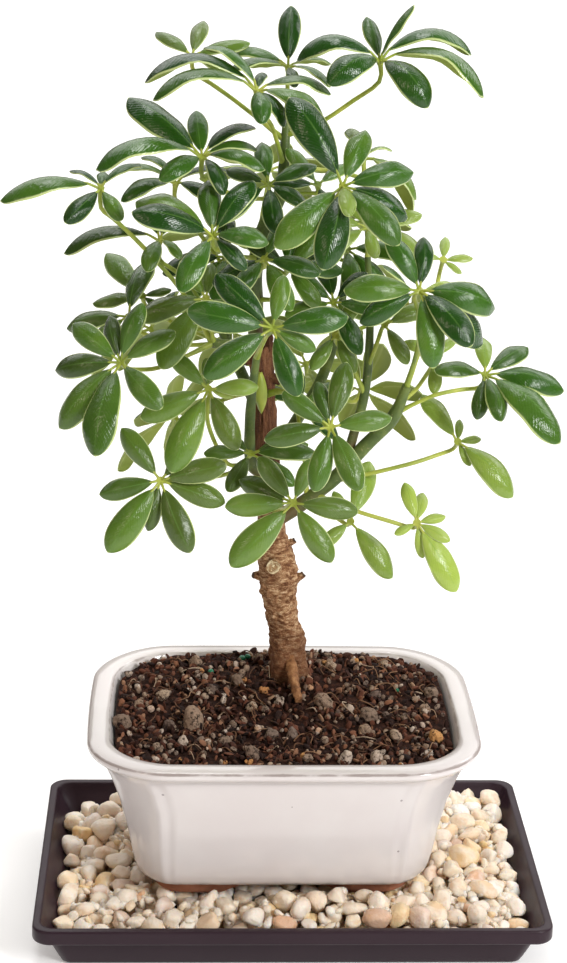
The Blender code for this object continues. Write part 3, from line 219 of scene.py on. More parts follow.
tray_profile = (
    # how far inside the lip's outer edge, and the height
    (12.0, 0.0), (11.2, 0.15), (10.6, 0.6), (10.2, 1.5), (9.4, 3.2), (7.6, 7.4), (5.9, 12.0), (5.6, 13.0),
    (5.2, 13.45), (4.6, 13.65), (1.0, 13.85), (0.4, 14.05), (0.1, 14.45), (0.0, 15.0), (0.0, 18.9),
    (0.12, 19.5), (0.45, 19.88), (1.0, TRAY_HEIGHT), (2.5, TRAY_HEIGHT), (3.1, 19.85), (3.45, 19.4),
    (3.8, 18.4), (5.6, 14.6), (7.5, 12.4), (9.2, 8.0), (11.2, 4.0), (11.9, 2.9), (12.5, 2.2),
    (13.4, TRAY_WALL))
tray_rings = []
for inset, z in tray_profile:
    corner = max(TRAY_CORNER - inset * 0.25, 3.0)
    tray_rings.append(rounded_ring(TRAY_LENGTH / 2 - inset, TRAY_DEPTH / 2 - inset, corner, z))
tray = shape_piece("tray_moulding", *loft_faces(tray_rings), [tray_plastic], sharp=60)
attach(tray, "root")
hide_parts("tray")


# Pebbles
# Tumbled river pebbles, cream with some white, honey and grey ones, poured into the tray by hand. They
# settle on each other round the pot's foot, higher at the front and the right, and the pot sinks in a bit.

POT_PLACE = (-3.5, 1.2)
POT_FOOT_Z = 18.6
PEBBLE_SEAT_Z = POT_FOOT_Z - 0.2
PEBBLE_COUNT = 900
PEBBLE_RADII = (3.1, 5.3)
CHIP_COUNT = 850
# the pebbles are poured from over this half length and half depth
POUR_X, POUR_Y = 90, 56


def ball(subdivisions):
    """Points and triangles of a unit ball."""
    shape = bmesh.new()
    bmesh.ops.create_icosphere(shape, subdivisions=subdivisions, radius=1.0)
    points = np.array([tuple(vert.co) for vert in shape.verts])
    faces = np.array([[vert.index for vert in face.verts] for face in shape.faces])
    shape.free()
    return points, faces


def random_turn(draw):
    """A random rotation matrix."""
    turn, _ = np.linalg.qr(draw.normal(size=(3, 3)))
    return turn if np.linalg.det(turn) > 0 else -turn


def worn_stone(unit, draw, cuts, sharpness, deepest):
    """A ball cut by random planes whose edges have worn round."""
    planes = draw.normal(size=(cuts, 3))
    planes /= np.linalg.norm(planes, axis=1)[:, None]
    depth = draw.uniform(deepest, 1.0, cuts)
    reach = np.maximum(unit @ planes.T, 0) / depth
    return unit * (1.0 + (reach ** sharpness).sum(axis=1))[:, None] ** (-1 / sharpness)


def many_stones(units, places, sizes, turns, draw, cuts, sharpness, deepest):
    """All stones as one list of points and faces; the shape of each is its own."""
    unit, triangles = units
    points, faces = [], []
    for number, (place, size, turn) in enumerate(zip(places, sizes, turns)):
        stone = worn_stone(unit, draw, cuts, sharpness, deepest) * size
        points.append(stone @ turn.T + place)
        faces.append(triangles + number * len(unit))
    return np.concatenate(points), np.concatenate(faces).tolist()


def tray_room(z):
    """Half length and half depth inside the tray's walls at a height."""
    inset = 11.9 - 4.4 * np.clip((z - 2.9) / 10.1, 0, 1)
    return TRAY_LENGTH / 2 - inset, TRAY_DEPTH / 2 - inset


def outside_foot(x, y, half_x=52.3, half_y=35.9, corner=13.0):
    """Distance from the pot's foot, negative under it, and the direction away from it."""
    dx, dy = x - POT_PLACE[0], y - POT_PLACE[1]
    qx, qy = np.abs(dx) - (half_x - corner), np.abs(dy) - (half_y - corner)
    outer = np.hypot(np.maximum(qx, 0), np.maximum(qy, 0))
    distance = outer + np.minimum(np.maximum(qx, qy), 0) - corner
    away_x = np.where(outer > 0, np.maximum(qx, 0), (qx > qy) * 1.0) * np.sign(dx)
    away_y = np.where(outer > 0, np.maximum(qy, 0), (qx <= qy) * 1.0) * np.sign(dy)
    length = np.maximum(np.hypot(away_x, away_y), 1e-6)
    return distance, away_x / length, away_y / length


def pour_pebbles(draw, count):
    """Let round grains settle between the tray's floor, its walls, the pot's foot and each other."""
    touching, shoving, falling_steps, settling_steps = 0.93, 0.36, 130, 40
    radius = draw.uniform(*PEBBLE_RADII, count)
    x = draw.uniform(-POUR_X, POUR_X, count)
    x += 11.0 * (1 - (x / POUR_X) ** 2)
    y = draw.uniform(-POUR_Y, POUR_Y, count)
    z = draw.uniform(8, 26, count) + 3.0 * (0.5 * x / POUR_X - y / POUR_Y)
    for step in range(falling_steps + settling_steps):
        z -= 0.35 if step < falling_steps else 0.1
        for _ in range(2):
            gap_x, gap_y, gap_z = (axis[:, None] - axis[None, :] for axis in (x, y, z))
            span = np.sqrt(gap_x ** 2 + gap_y ** 2 + gap_z ** 2) + np.eye(count) * 100
            push = np.maximum((radius[:, None] + radius[None, :]) * touching - span, 0) / span * shoving
            x += (gap_x * push).sum(axis=1)
            y += (gap_y * push).sum(axis=1)
            z += (gap_z * push).sum(axis=1)
            z = np.maximum(z, TRAY_WALL + 0.2 + radius * 0.8)
            half_x, half_y = tray_room(z)
            x = np.clip(x, -half_x + radius * 0.85, half_x - radius * 0.85)
            y = np.clip(y, -half_y + radius * 0.85, half_y - radius * 0.85)
            distance, away_x, away_y = outside_foot(x, y)
            distance -= np.clip((z + 0.6 * radius - 23.0) * 1.3, 0, 6)
            reach = z + radius * 0.85 - PEBBLE_SEAT_Z
            aside = np.maximum(radius * 0.72 - distance, 0)
            meets = (reach > 0) & (aside > 0)
            sink, shove = meets & (reach < aside), meets & (reach >= aside)
            z = np.where(sink, z - reach, z)
            x = np.where(shove, x + away_x * np.minimum(aside, 2.0), x)
            y = np.where(shove, y + away_y * np.minimum(aside, 2.0), y)
    return np.stack((x, y, z), axis=1), radius


pebble_draw = np.random.default_rng(23)
pebble_places, pebble_radii = pour_pebbles(pebble_draw, PEBBLE_COUNT)
pebble_shares = pebble_draw.uniform((1.02, 0.84, 0.70), (1.44, 1.12, 0.97), (PEBBLE_COUNT, 3))
pebble_sizes = pebble_radii[:, None] * pebble_shares
pebble_turns = []
for _ in range(PEBBLE_COUNT):
    turn, tip, lean = pebble_draw.uniform((0, -0.6, -0.5), (math.tau, 0.6, 0.5))
    pebble_turns.append(Matrix.Rotation(turn, 3, "Z") @ Matrix.Rotation(tip, 3, "X")
                        @ Matrix.Rotation(lean, 3, "Y"))
pebble_turns = np.array(pebble_turns)

# small chips of the same stone lie in the gaps between the pebbles
chip_draw = np.random.default_rng(41)
chip_spots = chip_draw.uniform((-POUR_X, -POUR_Y), (POUR_X, POUR_Y), (1500, 2))
chip_spots = chip_spots[outside_foot(chip_spots[:, 0], chip_spots[:, 1])[0] > 1.5][:CHIP_COUNT]
chip_gaps = np.hypot(*(chip_spots[:, None] - pebble_places[None, :, :2]).transpose(2, 0, 1))
chip_levels = np.where(chip_gaps < 9.0, pebble_places[None, :, 2], 0).max(axis=1)
chip_levels = np.maximum(chip_levels - chip_draw.uniform(1.0, 3.6, len(chip_spots)), 6)
chip_places = np.column_stack((chip_spots, chip_levels))
chip_sizes = chip_draw.uniform((2.0, 1.6, 1.3), (3.6, 2.6, 2.1), (len(chip_spots), 3))
chip_turns = np.array([random_turn(chip_draw) for _ in chip_spots])

pebble_stone, tree, shader = finish_of("river_pebble", 0.45, Specular_IOR_Level=0.5, Subsurface_Weight=0.35,
                                       Subsurface_Radius=(1.0, 0.7, 0.45), Subsurface_Scale=0.003)
pebble_base = colour_steps(tree, point_value(tree, "tint"), (
    (0.0, (0.87, 0.78, 0.67)), (0.22, (0.85, 0.70, 0.52)), (0.40, (0.90, 0.84, 0.76)),
    (0.58, (0.84, 0.65, 0.46)), (0.70, (0.88, 0.77, 0.62)), (0.82, (0.84, 0.61, 0.31)),
    (0.90, (0.85, 0.67, 0.54)), (0.96, (0.62, 0.51, 0.43)), (1.0, (0.76, 0.44, 0.25))))
pebble_veins = between(tree, cloud(tree, 160, 6, 0.65), 0.50, 0.74)
pebble_veined = blend_colour(tree, pebble_veins, pebble_base, (0.66, 0.38, 0.17), 0.65)
pebble_pale = between(tree, cloud(tree, 90, 3), 0.48, 0.66)
lay_on(tree, shader, blend_colour(tree, pebble_pale, pebble_veined, (0.95, 0.91, 0.85), 0.5),
       170, 1000, 0.30, 0.65, 0.0016)
tree.links.new(scaled(tree, cloud(tree, 240), 0.35, 0.25), shader.inputs["Roughness"])
deep = pebble_places[:, 2] < 9.0
for name, units, places, sizes, turns in (
        ("river_pebbles", ball(3), pebble_places[~deep], pebble_sizes[~deep], pebble_turns[~deep]),
        ("buried_pebbles", ball(2), pebble_places[deep], pebble_sizes[deep], pebble_turns[deep]),
        ("pebble_chips", ball(2), chip_places, chip_sizes, chip_turns)):
    points, faces = many_stones(units, places, sizes, turns, pebble_draw, 11, 20, 0.56)
    under_pot = (outside_foot(points[:, 0], points[:, 1])[0] < 1.0) & (points[:, 2] > PEBBLE_SEAT_Z)
    points[under_pot, 2] = PEBBLE_SEAT_Z
    for axis, half in enumerate(tray_room(points[:, 2])):
        points[:, axis] = np.clip(points[:, axis], -half - 0.4, half + 0.4)
    points[:, 2] = np.maximum(points[:, 2], TRAY_WALL + 0.1)
    tints = np.repeat(pebble_draw.random(len(places)), len(units[0]))
    pebbles = shape_piece(name, points, faces, [pebble_stone], values={"tint": tints}, sharp=80)
    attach(pebbles, "root")
    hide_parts("pebble_bed")


# Pot
# Slip-cast stoneware, dipped upside down in off-white glaze, so its four feet stay bare clay. The glaze
# thins to a grey-brown line where it runs off the lip's edge and the foot, and shows fine iron specks.

DRAIN_X = 27.0
DRAIN_RADIUS = 6.5
# how much the short sides bow out and stand wider, and how much wider and higher the back of the lip is
END_BOW, END_WIDER = 2.7, 1.1
BACK_WIDER, BACK_HIGHER = 2.6, 1.3


def bow_sides(ring, half_x, half_y, amount):
    """Add points along the four straight sides, and pull the corners in so that the sides bow out."""
    loop = []
    arcs = ring.reshape(4, -1, 3)
    for arc, following in zip(arcs, np.roll(arcs, -1, axis=0)):
        loop += [arc, arc[-1] + (following[0] - arc[-1]) * np.linspace(0, 1, 12)[1:-1, None]]
    loop = np.concatenate(loop)
    across, deep = np.abs(loop[:, 0]) / half_x, np.abs(loop[:, 1]) / half_y
    loop[:, 0] -= np.sign(loop[:, 0]) * amount * (END_BOW * deep ** 2 - END_WIDER) * across
    loop[:, 1] -= np.sign(loop[:, 1]) * amount * across ** 2 * deep
    loop[:, 1:] += np.clip(loop[:, 1:2] / half_y, 0, 1) * amount * (BACK_WIDER, BACK_HIGHER)
    return loop


pot_profile = (
    # half length, half depth, corner radius, height, depth of the corner's panel, how thin the glaze has run
    (50.8, 34.4, 12.0, 23.60, 0, 1.0), (52.6, 36.2, 12.6, 23.65, 0, 0.9), (54.4, 38.0, 13.4, 24.10, 0.1, 0.3),
    (56.2, 39.8, 14.6, 25.20, 0.3, 0), (57.6, 41.2, 15.8, 27.00, 0.6, 0), (59.0, 42.6, 17.0, 30.50, 0.9, 0),
    (60.4, 44.2, 18.4, 36.50, 1.0, 0), (62.6, 46.7, 20.6, 48.00, 1.0, 0), (65.7, 50.1, 23.8, 60.00, 1.0, 0),
    (68.8, 53.4, 24.8, 70.00, 1.0, 0), (70.4, 55.0, 24.4, 74.50, 0.8, 0), (71.4, 56.0, 24.2, 77.20, 0.4, 0),
    (72.2, 56.8, 24.8, 78.20, 0.2, 0.1), (73.6, 58.1, 26.6, 78.80, 0.1, 0.1),
    (75.4, 59.8, 29.0, 79.50, 0, 0.1),
    (76.5, 60.8, 30.3, 80.40, 0, 0), (76.95, 61.2, 30.9, 81.40, 0, 0), (77.0, 61.25, 31.0, 82.10, 0, 0.3),
    (76.8, 61.05, 30.9, 82.60, 0, 1.0), (76.4, 60.7, 30.7, 83.05, 0, 1.0), (75.7, 60.0, 30.2, 83.50, 0, 0.3),
    (74.6, 58.9, 29.3, 83.85, 0, 0), (72.4, 56.7, 27.6, 84.00, 0, 0), (70.4, 54.6, 25.9, 83.95, 0, 0),
    (69.2, 53.4, 25.0, 83.70, 0, 0.3), (68.4, 52.7, 24.4, 83.10, 0, 0.9), (67.8, 52.1, 23.9, 82.20, 0, 0.5),
    (67.2, 51.5, 23.4, 80.60, 0, 0.1), (62.4, 46.6, 24.6, 60.00, 0, 0), (55.0, 39.0, 16.4, 36.00, 0, 0.3),
    (53.0, 37.0, 14.6, 30.50, 0, 0.3), (50.0, 34.0, 12.5, 28.00, 0, 0.3))
# the panel at each corner: a groove and a low ridge on either side of a shallow hollow
corner_place = np.tile(np.abs(np.linspace(0, 1, 29) - 0.5), 4)
corner_sunk = (0.40 * np.exp(-((corner_place - 0.40) / 0.055) ** 2)
               - 0.32 * np.exp(-((corner_place - 0.29) / 0.050) ** 2)
               + 0.65 * np.maximum(1 - (corner_place / 0.27) ** 2, 0))
pot_rings, pot_thin = [], []
for half_x, half_y, corner, z, panel, thin in pot_profile:
    ring = np.array(rounded_ring(half_x, half_y, corner, z, 28))
    middle = np.sign(ring[:, :2]) * (half_x - corner, half_y - corner)
    ring[:, :2] -= (ring[:, :2] - middle) * (panel * corner_sunk / corner)[:, None]
    ring = bow_sides(ring, half_x, half_y, min(max((z - 30) / 50, 0), 1))
    sway = np.array([noise.noise(Vector((x * 0.018, y * 0.018, z * 0.03 + 5.0))) for x, y, _ in ring])
    ring[:, :2] *= (1 + 0.0022 * sway)[:, None]
    pot_rings.append(ring)
    pot_thin += [thin] * len(ring)

pot_glaze, tree, shader = finish_of("off_white_glaze", 0.14, Coat_Weight=0.35, Coat_Roughness=0.04,
                                    Coat_IOR=1.5)
glaze_tone = blend_colour(tree, between(tree, cloud(tree, 16, 4), 0.35, 0.7), (0.675, 0.625, 0.615),
                          (0.72, 0.685, 0.67))
glaze_drift = blend_colour(tree, between(tree, cloud(tree, 9, 2), 0.5, 0.72), glaze_tone,
                           (0.56, 0.51, 0.535), 0.30)
glaze_run = calc(tree, "ADD", point_value(tree, "thin"), scaled(tree, cloud(tree, 110, 5), 1.5, -0.75))
glaze_break = scaled(tree, between(tree, glaze_run, 0.62, 1.05), 0.70)
glaze_lined = blend_colour(tree, glaze_break, glaze_drift, (0.24, 0.185, 0.165))
specks = node_in(tree, "ShaderNodeTexVoronoi", {"Vector": here(tree), "Scale": 120.0, "Randomness": 1.0})
speck_pick = node_in(tree, "ShaderNodeSeparateColor", {0: specks.outputs["Color"]}).outputs
speck_near = calc(tree, "LESS_THAN", specks.outputs["Distance"], scaled(tree, speck_pick[1], 0.075))
speck_mask = calc(tree, "MULTIPLY", speck_near, calc(tree, "GREATER_THAN", speck_pick[0], 0.72))
lay_on(tree, shader, blend_colour(tree, speck_mask, glaze_lined, (0.16, 0.12, 0.13), 0.6),
       40, 420, 0.2, 0.10, 0.0008)
tree.links.new(scaled(tree, glaze_break, 0.25, 0.13), shader.inputs["Roughness"])

bare_clay, tree, shader = finish_of("bare_terracotta", 0.85, Specular_IOR_Level=0.25)
clay_tone = colour_steps(tree, cloud(tree, 120, 6, 0.6), (
    (0.25, (0.27, 0.105, 0.06)), (0.55, (0.40, 0.165, 0.095)), (0.8, (0.50, 0.24, 0.15))))
lay_on(tree, shader, clay_tone, 300, 1500, 0.5, 0.5, 0.0005)


def cut_with(piece, cutters):
    """Take each cutter out of the piece for good."""
    for cutter in cutters:
        modifier = piece.modifiers.new("Cut", "BOOLEAN")
        modifier.operation = "DIFFERENCE"
        modifier.object = cutter
    bpy.context.view_layer.update()
    mesh = bpy.data.meshes.new_from_object(piece.evaluated_get(bpy.context.evaluated_depsgraph_get()))
    piece.modifiers.clear()
    piece.data = mesh
    for cutter in cutters:
        bpy.data.objects.remove(cutter, do_unlink=True)


def round_post(x, y, radius, low, high, sides=32):
    ring = [(x + radius * math.cos(math.tau * i / sides), y + radius * math.sin(math.tau * i / sides))
            for i in range(sides)]
    return [[(*point, z) for point in ring] for z in (low, high)]


pot = shape_piece("glazed_pot", *loft_faces(pot_rings), [pot_glaze], values={"thin": pot_thin}, sharp=50,
                  place=POT_PLACE)
cut_with(pot, [shape_piece("drain", *loft_faces(round_post(side * DRAIN_X, 0, DRAIN_RADIUS, 22, 30)),
                           [pot_glaze], place=POT_PLACE) for side in (-1, 1)])
# half length, half depth, corner radius and height round the foot, from its sole up and back inside
foot_rings = [rounded_ring(*row) for row in (
    (50.4, 34.0, 12.1, 18.65), (51.0, 34.6, 12.5, 19.1), (52.2, 35.8, 13.3, 23.9), (43.5, 27.5, 8.0, 23.9),
    (43.2, 27.2, 7.8, 19.1), (43.8, 27.8, 8.2, 18.65))]
feet = shape_piece("clay_feet", *loft_faces(foot_rings + foot_rings[:1], False), [bare_clay], sharp=40,
                   place=POT_PLACE)
weld = bmesh.new()
weld.from_mesh(feet.data)
bmesh.ops.remove_doubles(weld, verts=weld.verts, dist=0.00001)
bmesh.ops.recalc_face_normals(weld, faces=weld.faces)
weld.to_mesh(feet.data)
weld.free()
# an arch through the middle of each side leaves four feet: height, half length and half depth of its rows
arches = (((17, 28.5, 60.0), (23.3, 15.5, 60.0)), ((17, 80.0, 21.0), (23.3, 80.0, 9.0)))
cut_with(feet, [shape_piece("arch", *loft_faces([rounded_ring(x, y, 1.5, z) for z, x, y in rows]),
                            [bare_clay], place=POT_PLACE) for rows in arches])
for piece in (pot, feet):
    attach(piece, "root")
    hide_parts("pot")


# Drain screens
# Two discs of moulded plastic mesh over the pot's drain holes, laid in before the soil. They keep the
# grains in, and are seen only through the holes.

screen_plastic, tree, shader = finish_of("screen_mesh_plastic", 0.55)
lay_on(tree, shader, blend_colour(tree, cloud(tree, 180, 4), (0.012, 0.012, 0.013), (0.045, 0.040, 0.036)),
       200, 1500, 0.5, 0.3, 0.0003)
for name in ("drain_screen_left", "drain_screen_right"):
    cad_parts[name].data.materials.clear()
    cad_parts[name].data.materials.append(screen_plastic)


# Soil
# Free-draining bonsai mix, pressed in round the trunk and mounded a little to the back: dark bark and
# crumbs, grey and tan pumice, some orange grit, fine root fibres and a few green beads of plant food.

SOIL_LEVEL = 82.0
CRUMB_COUNT = 2300
# the soil's top: half lengths of its straight sides and the radius of its corners
SOIL_STRAIGHT_X, SOIL_STRAIGHT_Y, SOIL_CORNER = 43.0, 27.4, 23.2
TRUNK_FOOT = (3.4, 22.0)


def soil_height(x, y):
    """Level of the soil in mm: a mound at the back round the trunk, and a little lower at both ends."""
    mound = 8.0 * np.exp(-((x - 3) / 44) ** 2 - ((y - 25) / 30) ** 2)
    edge = np.clip((np.abs(x) - 42) / 22, 0.0, 1.0)
    return SOIL_LEVEL + mound + 1.4 * y / 50 - 0.6 * edge * edge * (3 - 2 * edge)


soil_rings = [bow_sides(np.array(rounded_ring(half_x, half_y, corner, z, 20)), half_x, half_y, amount)
              for half_x, half_y, corner, z, amount in (
                  (49.6, 33.6, 12.3, 28.3, 0.0), (53.6, 37.6, 14.9, 33.2, 0.1),
                  (65.2, 49.5, 23.6, 75.0, 0.9), (66.4, 50.7, 23.5, 77.0, 1.0))]
soil_edge = soil_rings.pop()
for share in np.linspace(0.995, 0.03, 44):
    ring = soil_edge * (share, share, 1)
    ring[:, 2] = soil_height(ring[:, 0], ring[:, 1]) - 1.0
    for point in ring:
        rough = noise.noise(Vector((point[0] * 0.16, point[1] * 0.16, 2.0)))
        point[2] += rough + noise.noise(Vector((point[0] * 0.5, point[1] * 0.5, 9.0))) * 0.7
    soil_rings.append(ring)

soil_earth, tree, shader = finish_of("dark_soil", 0.95, Specular_IOR_Level=0.2)
earth_tone = colour_steps(tree, cloud(tree, 420, 8, 0.7), (
    (0.30, (0.007, 0.002, 0.001)), (0.50, (0.027, 0.009, 0.005)), (0.66, (0.062, 0.022, 0.012)),
    (0.80, (0.13, 0.072, 0.042))))
lay_on(tree, shader, earth_tone, 380, 1600, 0.4, 1.0, 0.0016)
soil_mound = shape_piece("soil_mound", *loft_faces(soil_rings), [soil_earth], sharp=70, place=POT_PLACE)


def in_pot(draw, count, inset=1.5):
    """Random places on the soil inside the pot's inner outline, clear of the trunk."""
    places = []
    while len(places) < count:
        x, y = draw.uniform(-66, 66), draw.uniform(-50, 50)
        past_x, past_y = max(abs(x) - SOIL_STRAIGHT_X, 0), max(abs(y) - SOIL_STRAIGHT_Y, 0)
        if math.hypot(past_x, past_y) < SOIL_CORNER - inset and math.dist((x, y), TRUNK_FOOT) > 8.0:
            places.append((x, y))
    return np.array(places)


soil_draw = np.random.default_rng(5)


def strew(name, count, lengths, aspect, cut, lift, material, inset):
    """Scatter grains over the soil, each half sunk at its own angle."""
    grain = ball(2)
    spots = in_pot(soil_draw, count, inset)
    sizes = soil_draw.uniform(*lengths, count)[:, None] / 2 * soil_draw.uniform(*aspect, (count, 3))
    heights = soil_height(spots[:, 0], spots[:, 1]) + soil_draw.uniform(*lift, count) - 0.6
    turns = [random_turn(soil_draw) for _ in range(count)]
    places = np.column_stack((spots, heights))
    points, faces = many_stones(grain, places, sizes, turns, soil_draw, *cut)
    tint = np.repeat(soil_draw.random(count), len(grain[0]))
    return shape_piece(name, points, faces, [material], values={"tint": tint}, sharp=30, place=POT_PLACE)


crumb_bark, tree, shader = finish_of("bark_crumbs", 0.85, Specular_IOR_Level=0.3)
crumb_base = colour_steps(tree, point_value(tree, "tint"), (
    (0.0, (0.010, 0.003, 0.002)), (0.35, (0.030, 0.009, 0.005)), (0.62, (0.074, 0.022, 0.011)),
    (0.82, (0.13, 0.044, 0.023)), (0.94, (0.25, 0.105, 0.055)), (1.0, (0.40, 0.25, 0.155))))
crumb_streak = between(tree, cloud(tree, 700, 4), 0.55, 0.75)
lay_on(tree, shader, blend_colour(tree, crumb_streak, crumb_base, (0.16, 0.09, 0.055), 0.5),
       700, 2500, 0.5, 0.8, 0.0005)
crumbs = strew("bark_crumbs", CRUMB_COUNT, (1.6, 4.2), ((0.9, 0.55, 0.25), (1.5, 0.95, 0.6)), (6, 14, 0.45),
               (-0.6, 1.2), crumb_bark, 0.6)

pumice, tree, shader = finish_of("pumice_lumps", 0.9, Specular_IOR_Level=0.25)
pumice_base = colour_steps(tree, point_value(tree, "tint"), (
    (0.0, (0.38, 0.26, 0.18)), (0.2, (0.24, 0.165, 0.12)), (0.45, (0.46, 0.335, 0.24)),
    (0.62, (0.18, 0.125, 0.10)), (0.80, (0.55, 0.43, 0.34)), (0.90, (0.66, 0.55, 0.46)),
    (0.96, (0.50, 0.22, 0.08)), (1.0, (0.62, 0.31, 0.11))))
# Painted shade in the pumice's pores: many small near-black spots stand for the shade inside its holes.
pumice_pore_shade = scaled(tree, between(tree, cloud(tree, 620, 6, 0.7), 0.36, 0.52), -0.95, 1.0)
lay_on(tree, shader, blend_colour(tree, pumice_pore_shade, pumice_base, (0.035, 0.022, 0.015)),
       520, 2200, 0.4, 1.0, 0.0010)
pumice_small = strew("pumice_grit", 330, (1.6, 3.8), ((0.8, 0.7, 0.6), (1.2, 1.0, 0.9)), (8, 10, 0.6),
                     (0.2, 1.4), pumice, 1.2)

# the larger lumps: place, size and tint of each
LUMPS = (
    (-64.0, -10.9, 8.0, 0.22), (-35.7, -13.2, 11.5, 0.04), (-17.5, 15.6, 6.5, 0.20), (-48.0, 10.9, 6.2, 0.42),
    (-12.5, -3.1, 5.8, 0.45), (-6.9, 7.8, 4.4, 0.97), (-1.4, -0.4, 5.2, 0.76), (-0.5, 17.5, 4.6, 0.80),
    (16.7, -0.3, 8.2, 0.10), (34.7, -7.9, 7.6, 0.22), (32.3, -19.0, 6.0, 0.06), (44.4, -24.0, 6.6, 0.42),
    (60.1, -22.7, 7.4, 1.00), (55.6, -37.1, 5.2, 0.88), (23.1, -42.5, 7.0, 0.84), (35.3, -42.0, 6.0, 0.80),
    (-5.2, -23.0, 6.4, 0.60), (3.0, -23.0, 6.4, 0.64), (8.4, -42.1, 4.4, 0.30), (-12.8, -38.7, 7.4, 0.20),
    (58.1, 0.0, 5.8, 0.02), (61.5, 15.0, 7.0, 0.22), (-9.0, 36.8, 5.6, 0.20), (-35.2, 39.3, 6.2, 0.04),
    (44.3, 41.3, 5.0, 0.48), (-10.3, -17.6, 3.4, 0.92), (-49.8, -32.8, 4.2, 0.50), (-39.8, -28.0, 5.0, 0.84),
    (-23.4, -27.9, 5.2, 0.22), (-45.6, -14.5, 6.0, 0.62), (21.3, 27.4, 5.2, 0.46), (16.0, 30.0, 4.4, 0.20),
    (-28.0, 12.0, 5.0, 0.62), (-58.0, 4.0, 5.0, 0.04), (38.0, 8.0, 5.4, 0.62), (49.0, -8.0, 5.0, 0.22))
lump_places, lump_sizes, lump_tints, lump_turns = [], [], [], []
for x, y, width, tint in LUMPS:
    lump_places.append((x, y, float(soil_height(x, y)) + 0.16 * width - 0.6))
    lump_sizes.append(soil_draw.uniform((0.52, 0.46, 0.40), (0.60, 0.54, 0.48)) * width)
    lump_tints.append(tint)
    lump_turns.append(random_turn(soil_draw))
lump_ball = ball(4)
lump_points, lump_faces = many_stones(lump_ball, lump_places, lump_sizes, lump_turns, soil_draw, 10, 7, 0.62)


def rumpled(points, *layers):
    """Points in mm pushed about by layers of smooth noise, each with its scale and amount."""
    return points + np.array([sum((noise.noise_vector(Vector(point) * scale) * amount
                                   for scale, amount in layers), Vector()) for point in points])


lumps = shape_piece("pumice_lumps", rumpled(lump_points, (0.75, 0.45), (2.0, 0.22)), lump_faces, [pumice],
                    values={"tint": np.repeat(lump_tints, len(lump_ball[0]))}, sharp=60, place=POT_PLACE)


def smooth_line(points, steps):
    """Catmull-Rom points through the given ones; each point may carry a radius as its fourth number."""
    line = []
    last = len(points) - 1
    for i in range(last):
        before, start, end, after = (
            points[max(i - 1, 0)], points[i], points[i + 1], points[min(i + 2, last)])
        for step in range(steps):
            t = step / steps
            line.append(tuple(0.5 * (2 * b + (c - a) * t + (2 * a - 5 * b + 4 * c - d) * t * t
                                     + (3 * b - a - 3 * c + d) * t ** 3)
                              for a, b, c, d in zip(before, start, end, after)))
    line.append(tuple(points[-1]))
    return line


def tube_shape(line, sides, swell=None):
    """Rings round a line of x, y, z, radius; swell may change the radius at each place and side."""
    line = np.asarray(line, dtype=float)
    last = len(line) - 1
    rings = []
    for i, (x, y, z, radius) in enumerate(line):
        ahead = Vector(line[min(i + 1, last)][:3] - line[max(i - 1, 0)][:3]).normalized()
        across = (across - ahead * across.dot(ahead) if i else ahead.orthogonal()).normalized()
        other = ahead.cross(across)
        ring = []
        for side in range(sides):
            angle = math.tau * side / sides
            out = across * math.cos(angle) + other * math.sin(angle)
            reach = radius * (swell(i / last, angle) if swell else 1.0)
            ring.append((x + out.x * reach, y + out.y * reach, z + out.z * reach))
        rings.append(ring)
    return loft_faces(rings)


def gather(parts):
    """One list of points, faces, slots and values from several (points, faces, slot, values)."""
    points, faces, slots, values = [], [], [], {}
    start = 0
    for part_points, part_faces, slot, part_values in parts:
        points.append(np.asarray(part_points, dtype=float))
        faces += [tuple(index + start for index in face) for face in part_faces]
        slots += slot if isinstance(slot, list) else [slot] * len(part_faces)
        for key, data in part_values.items():
            values.setdefault(key, []).append(np.asarray(data, dtype=float))
        start += len(part_points)
    return np.concatenate(points), faces, slots, {key: np.concatenate(data) for key, data in values.items()}


root_fibre, tree, shader = finish_of("root_fibre", 0.8, Specular_IOR_Level=0.25)
fibre_tone = colour_steps(tree, point_value(tree, "tint"), (
    (0.0, (0.05, 0.025, 0.014)), (0.5, (0.13, 0.060, 0.032)), (0.85, (0.26, 0.14, 0.075)),
    (1.0, (0.50, 0.38, 0.27))))
lay_on(tree, shader, fibre_tone, 900, 3000, 0.5, 0.5, 0.0003)
fibre_parts = []
for x, y in in_pot(soil_draw, 260, 2.5):
    heading, length = soil_draw.uniform(0, math.tau), soil_draw.uniform(3, 12)
    z = float(soil_height(x, y)) + soil_draw.uniform(-0.3, 0.6)
    knots = []
    for share in (0, 0.33, 0.66, 1.0):
        px, py = x + math.cos(heading) * length * share, y + math.sin(heading) * length * share
        pz = z + math.sin(math.pi * share) * soil_draw.uniform(0.2, 2.0) - (0.8 if share in (0, 1.0) else 0)
        knots.append((px, py, pz, 0.26 * (1 - 0.6 * share) + 0.05))
        heading += soil_draw.uniform(-0.7, 0.7)
    # a fibre whose far end would reach the pot's wall is left out
    if math.hypot(max(abs(knots[-1][0]) - 37, 0), max(abs(knots[-1][1]) - 21, 0)) < 28:
        points, faces = tube_shape(smooth_line(knots, 3), 4)
        fibre_parts.append((points, faces, 0, {"tint": [soil_draw.random()] * len(points)}))
points, faces, _, values = gather(fibre_parts)
fibres = shape_piece("root_fibres", points, faces, [root_fibre], values=values, place=POT_PLACE)

plant_food, tree, shader = finish_of("green_plant_food", 0.35, Specular_IOR_Level=0.5)
lay_on(tree, shader, blend_colour(tree, cloud(tree, 500), (0.0, 0.075, 0.035), (0.005, 0.21, 0.10)),
       500, 1500, 0.4, 0.3, 0.0003)
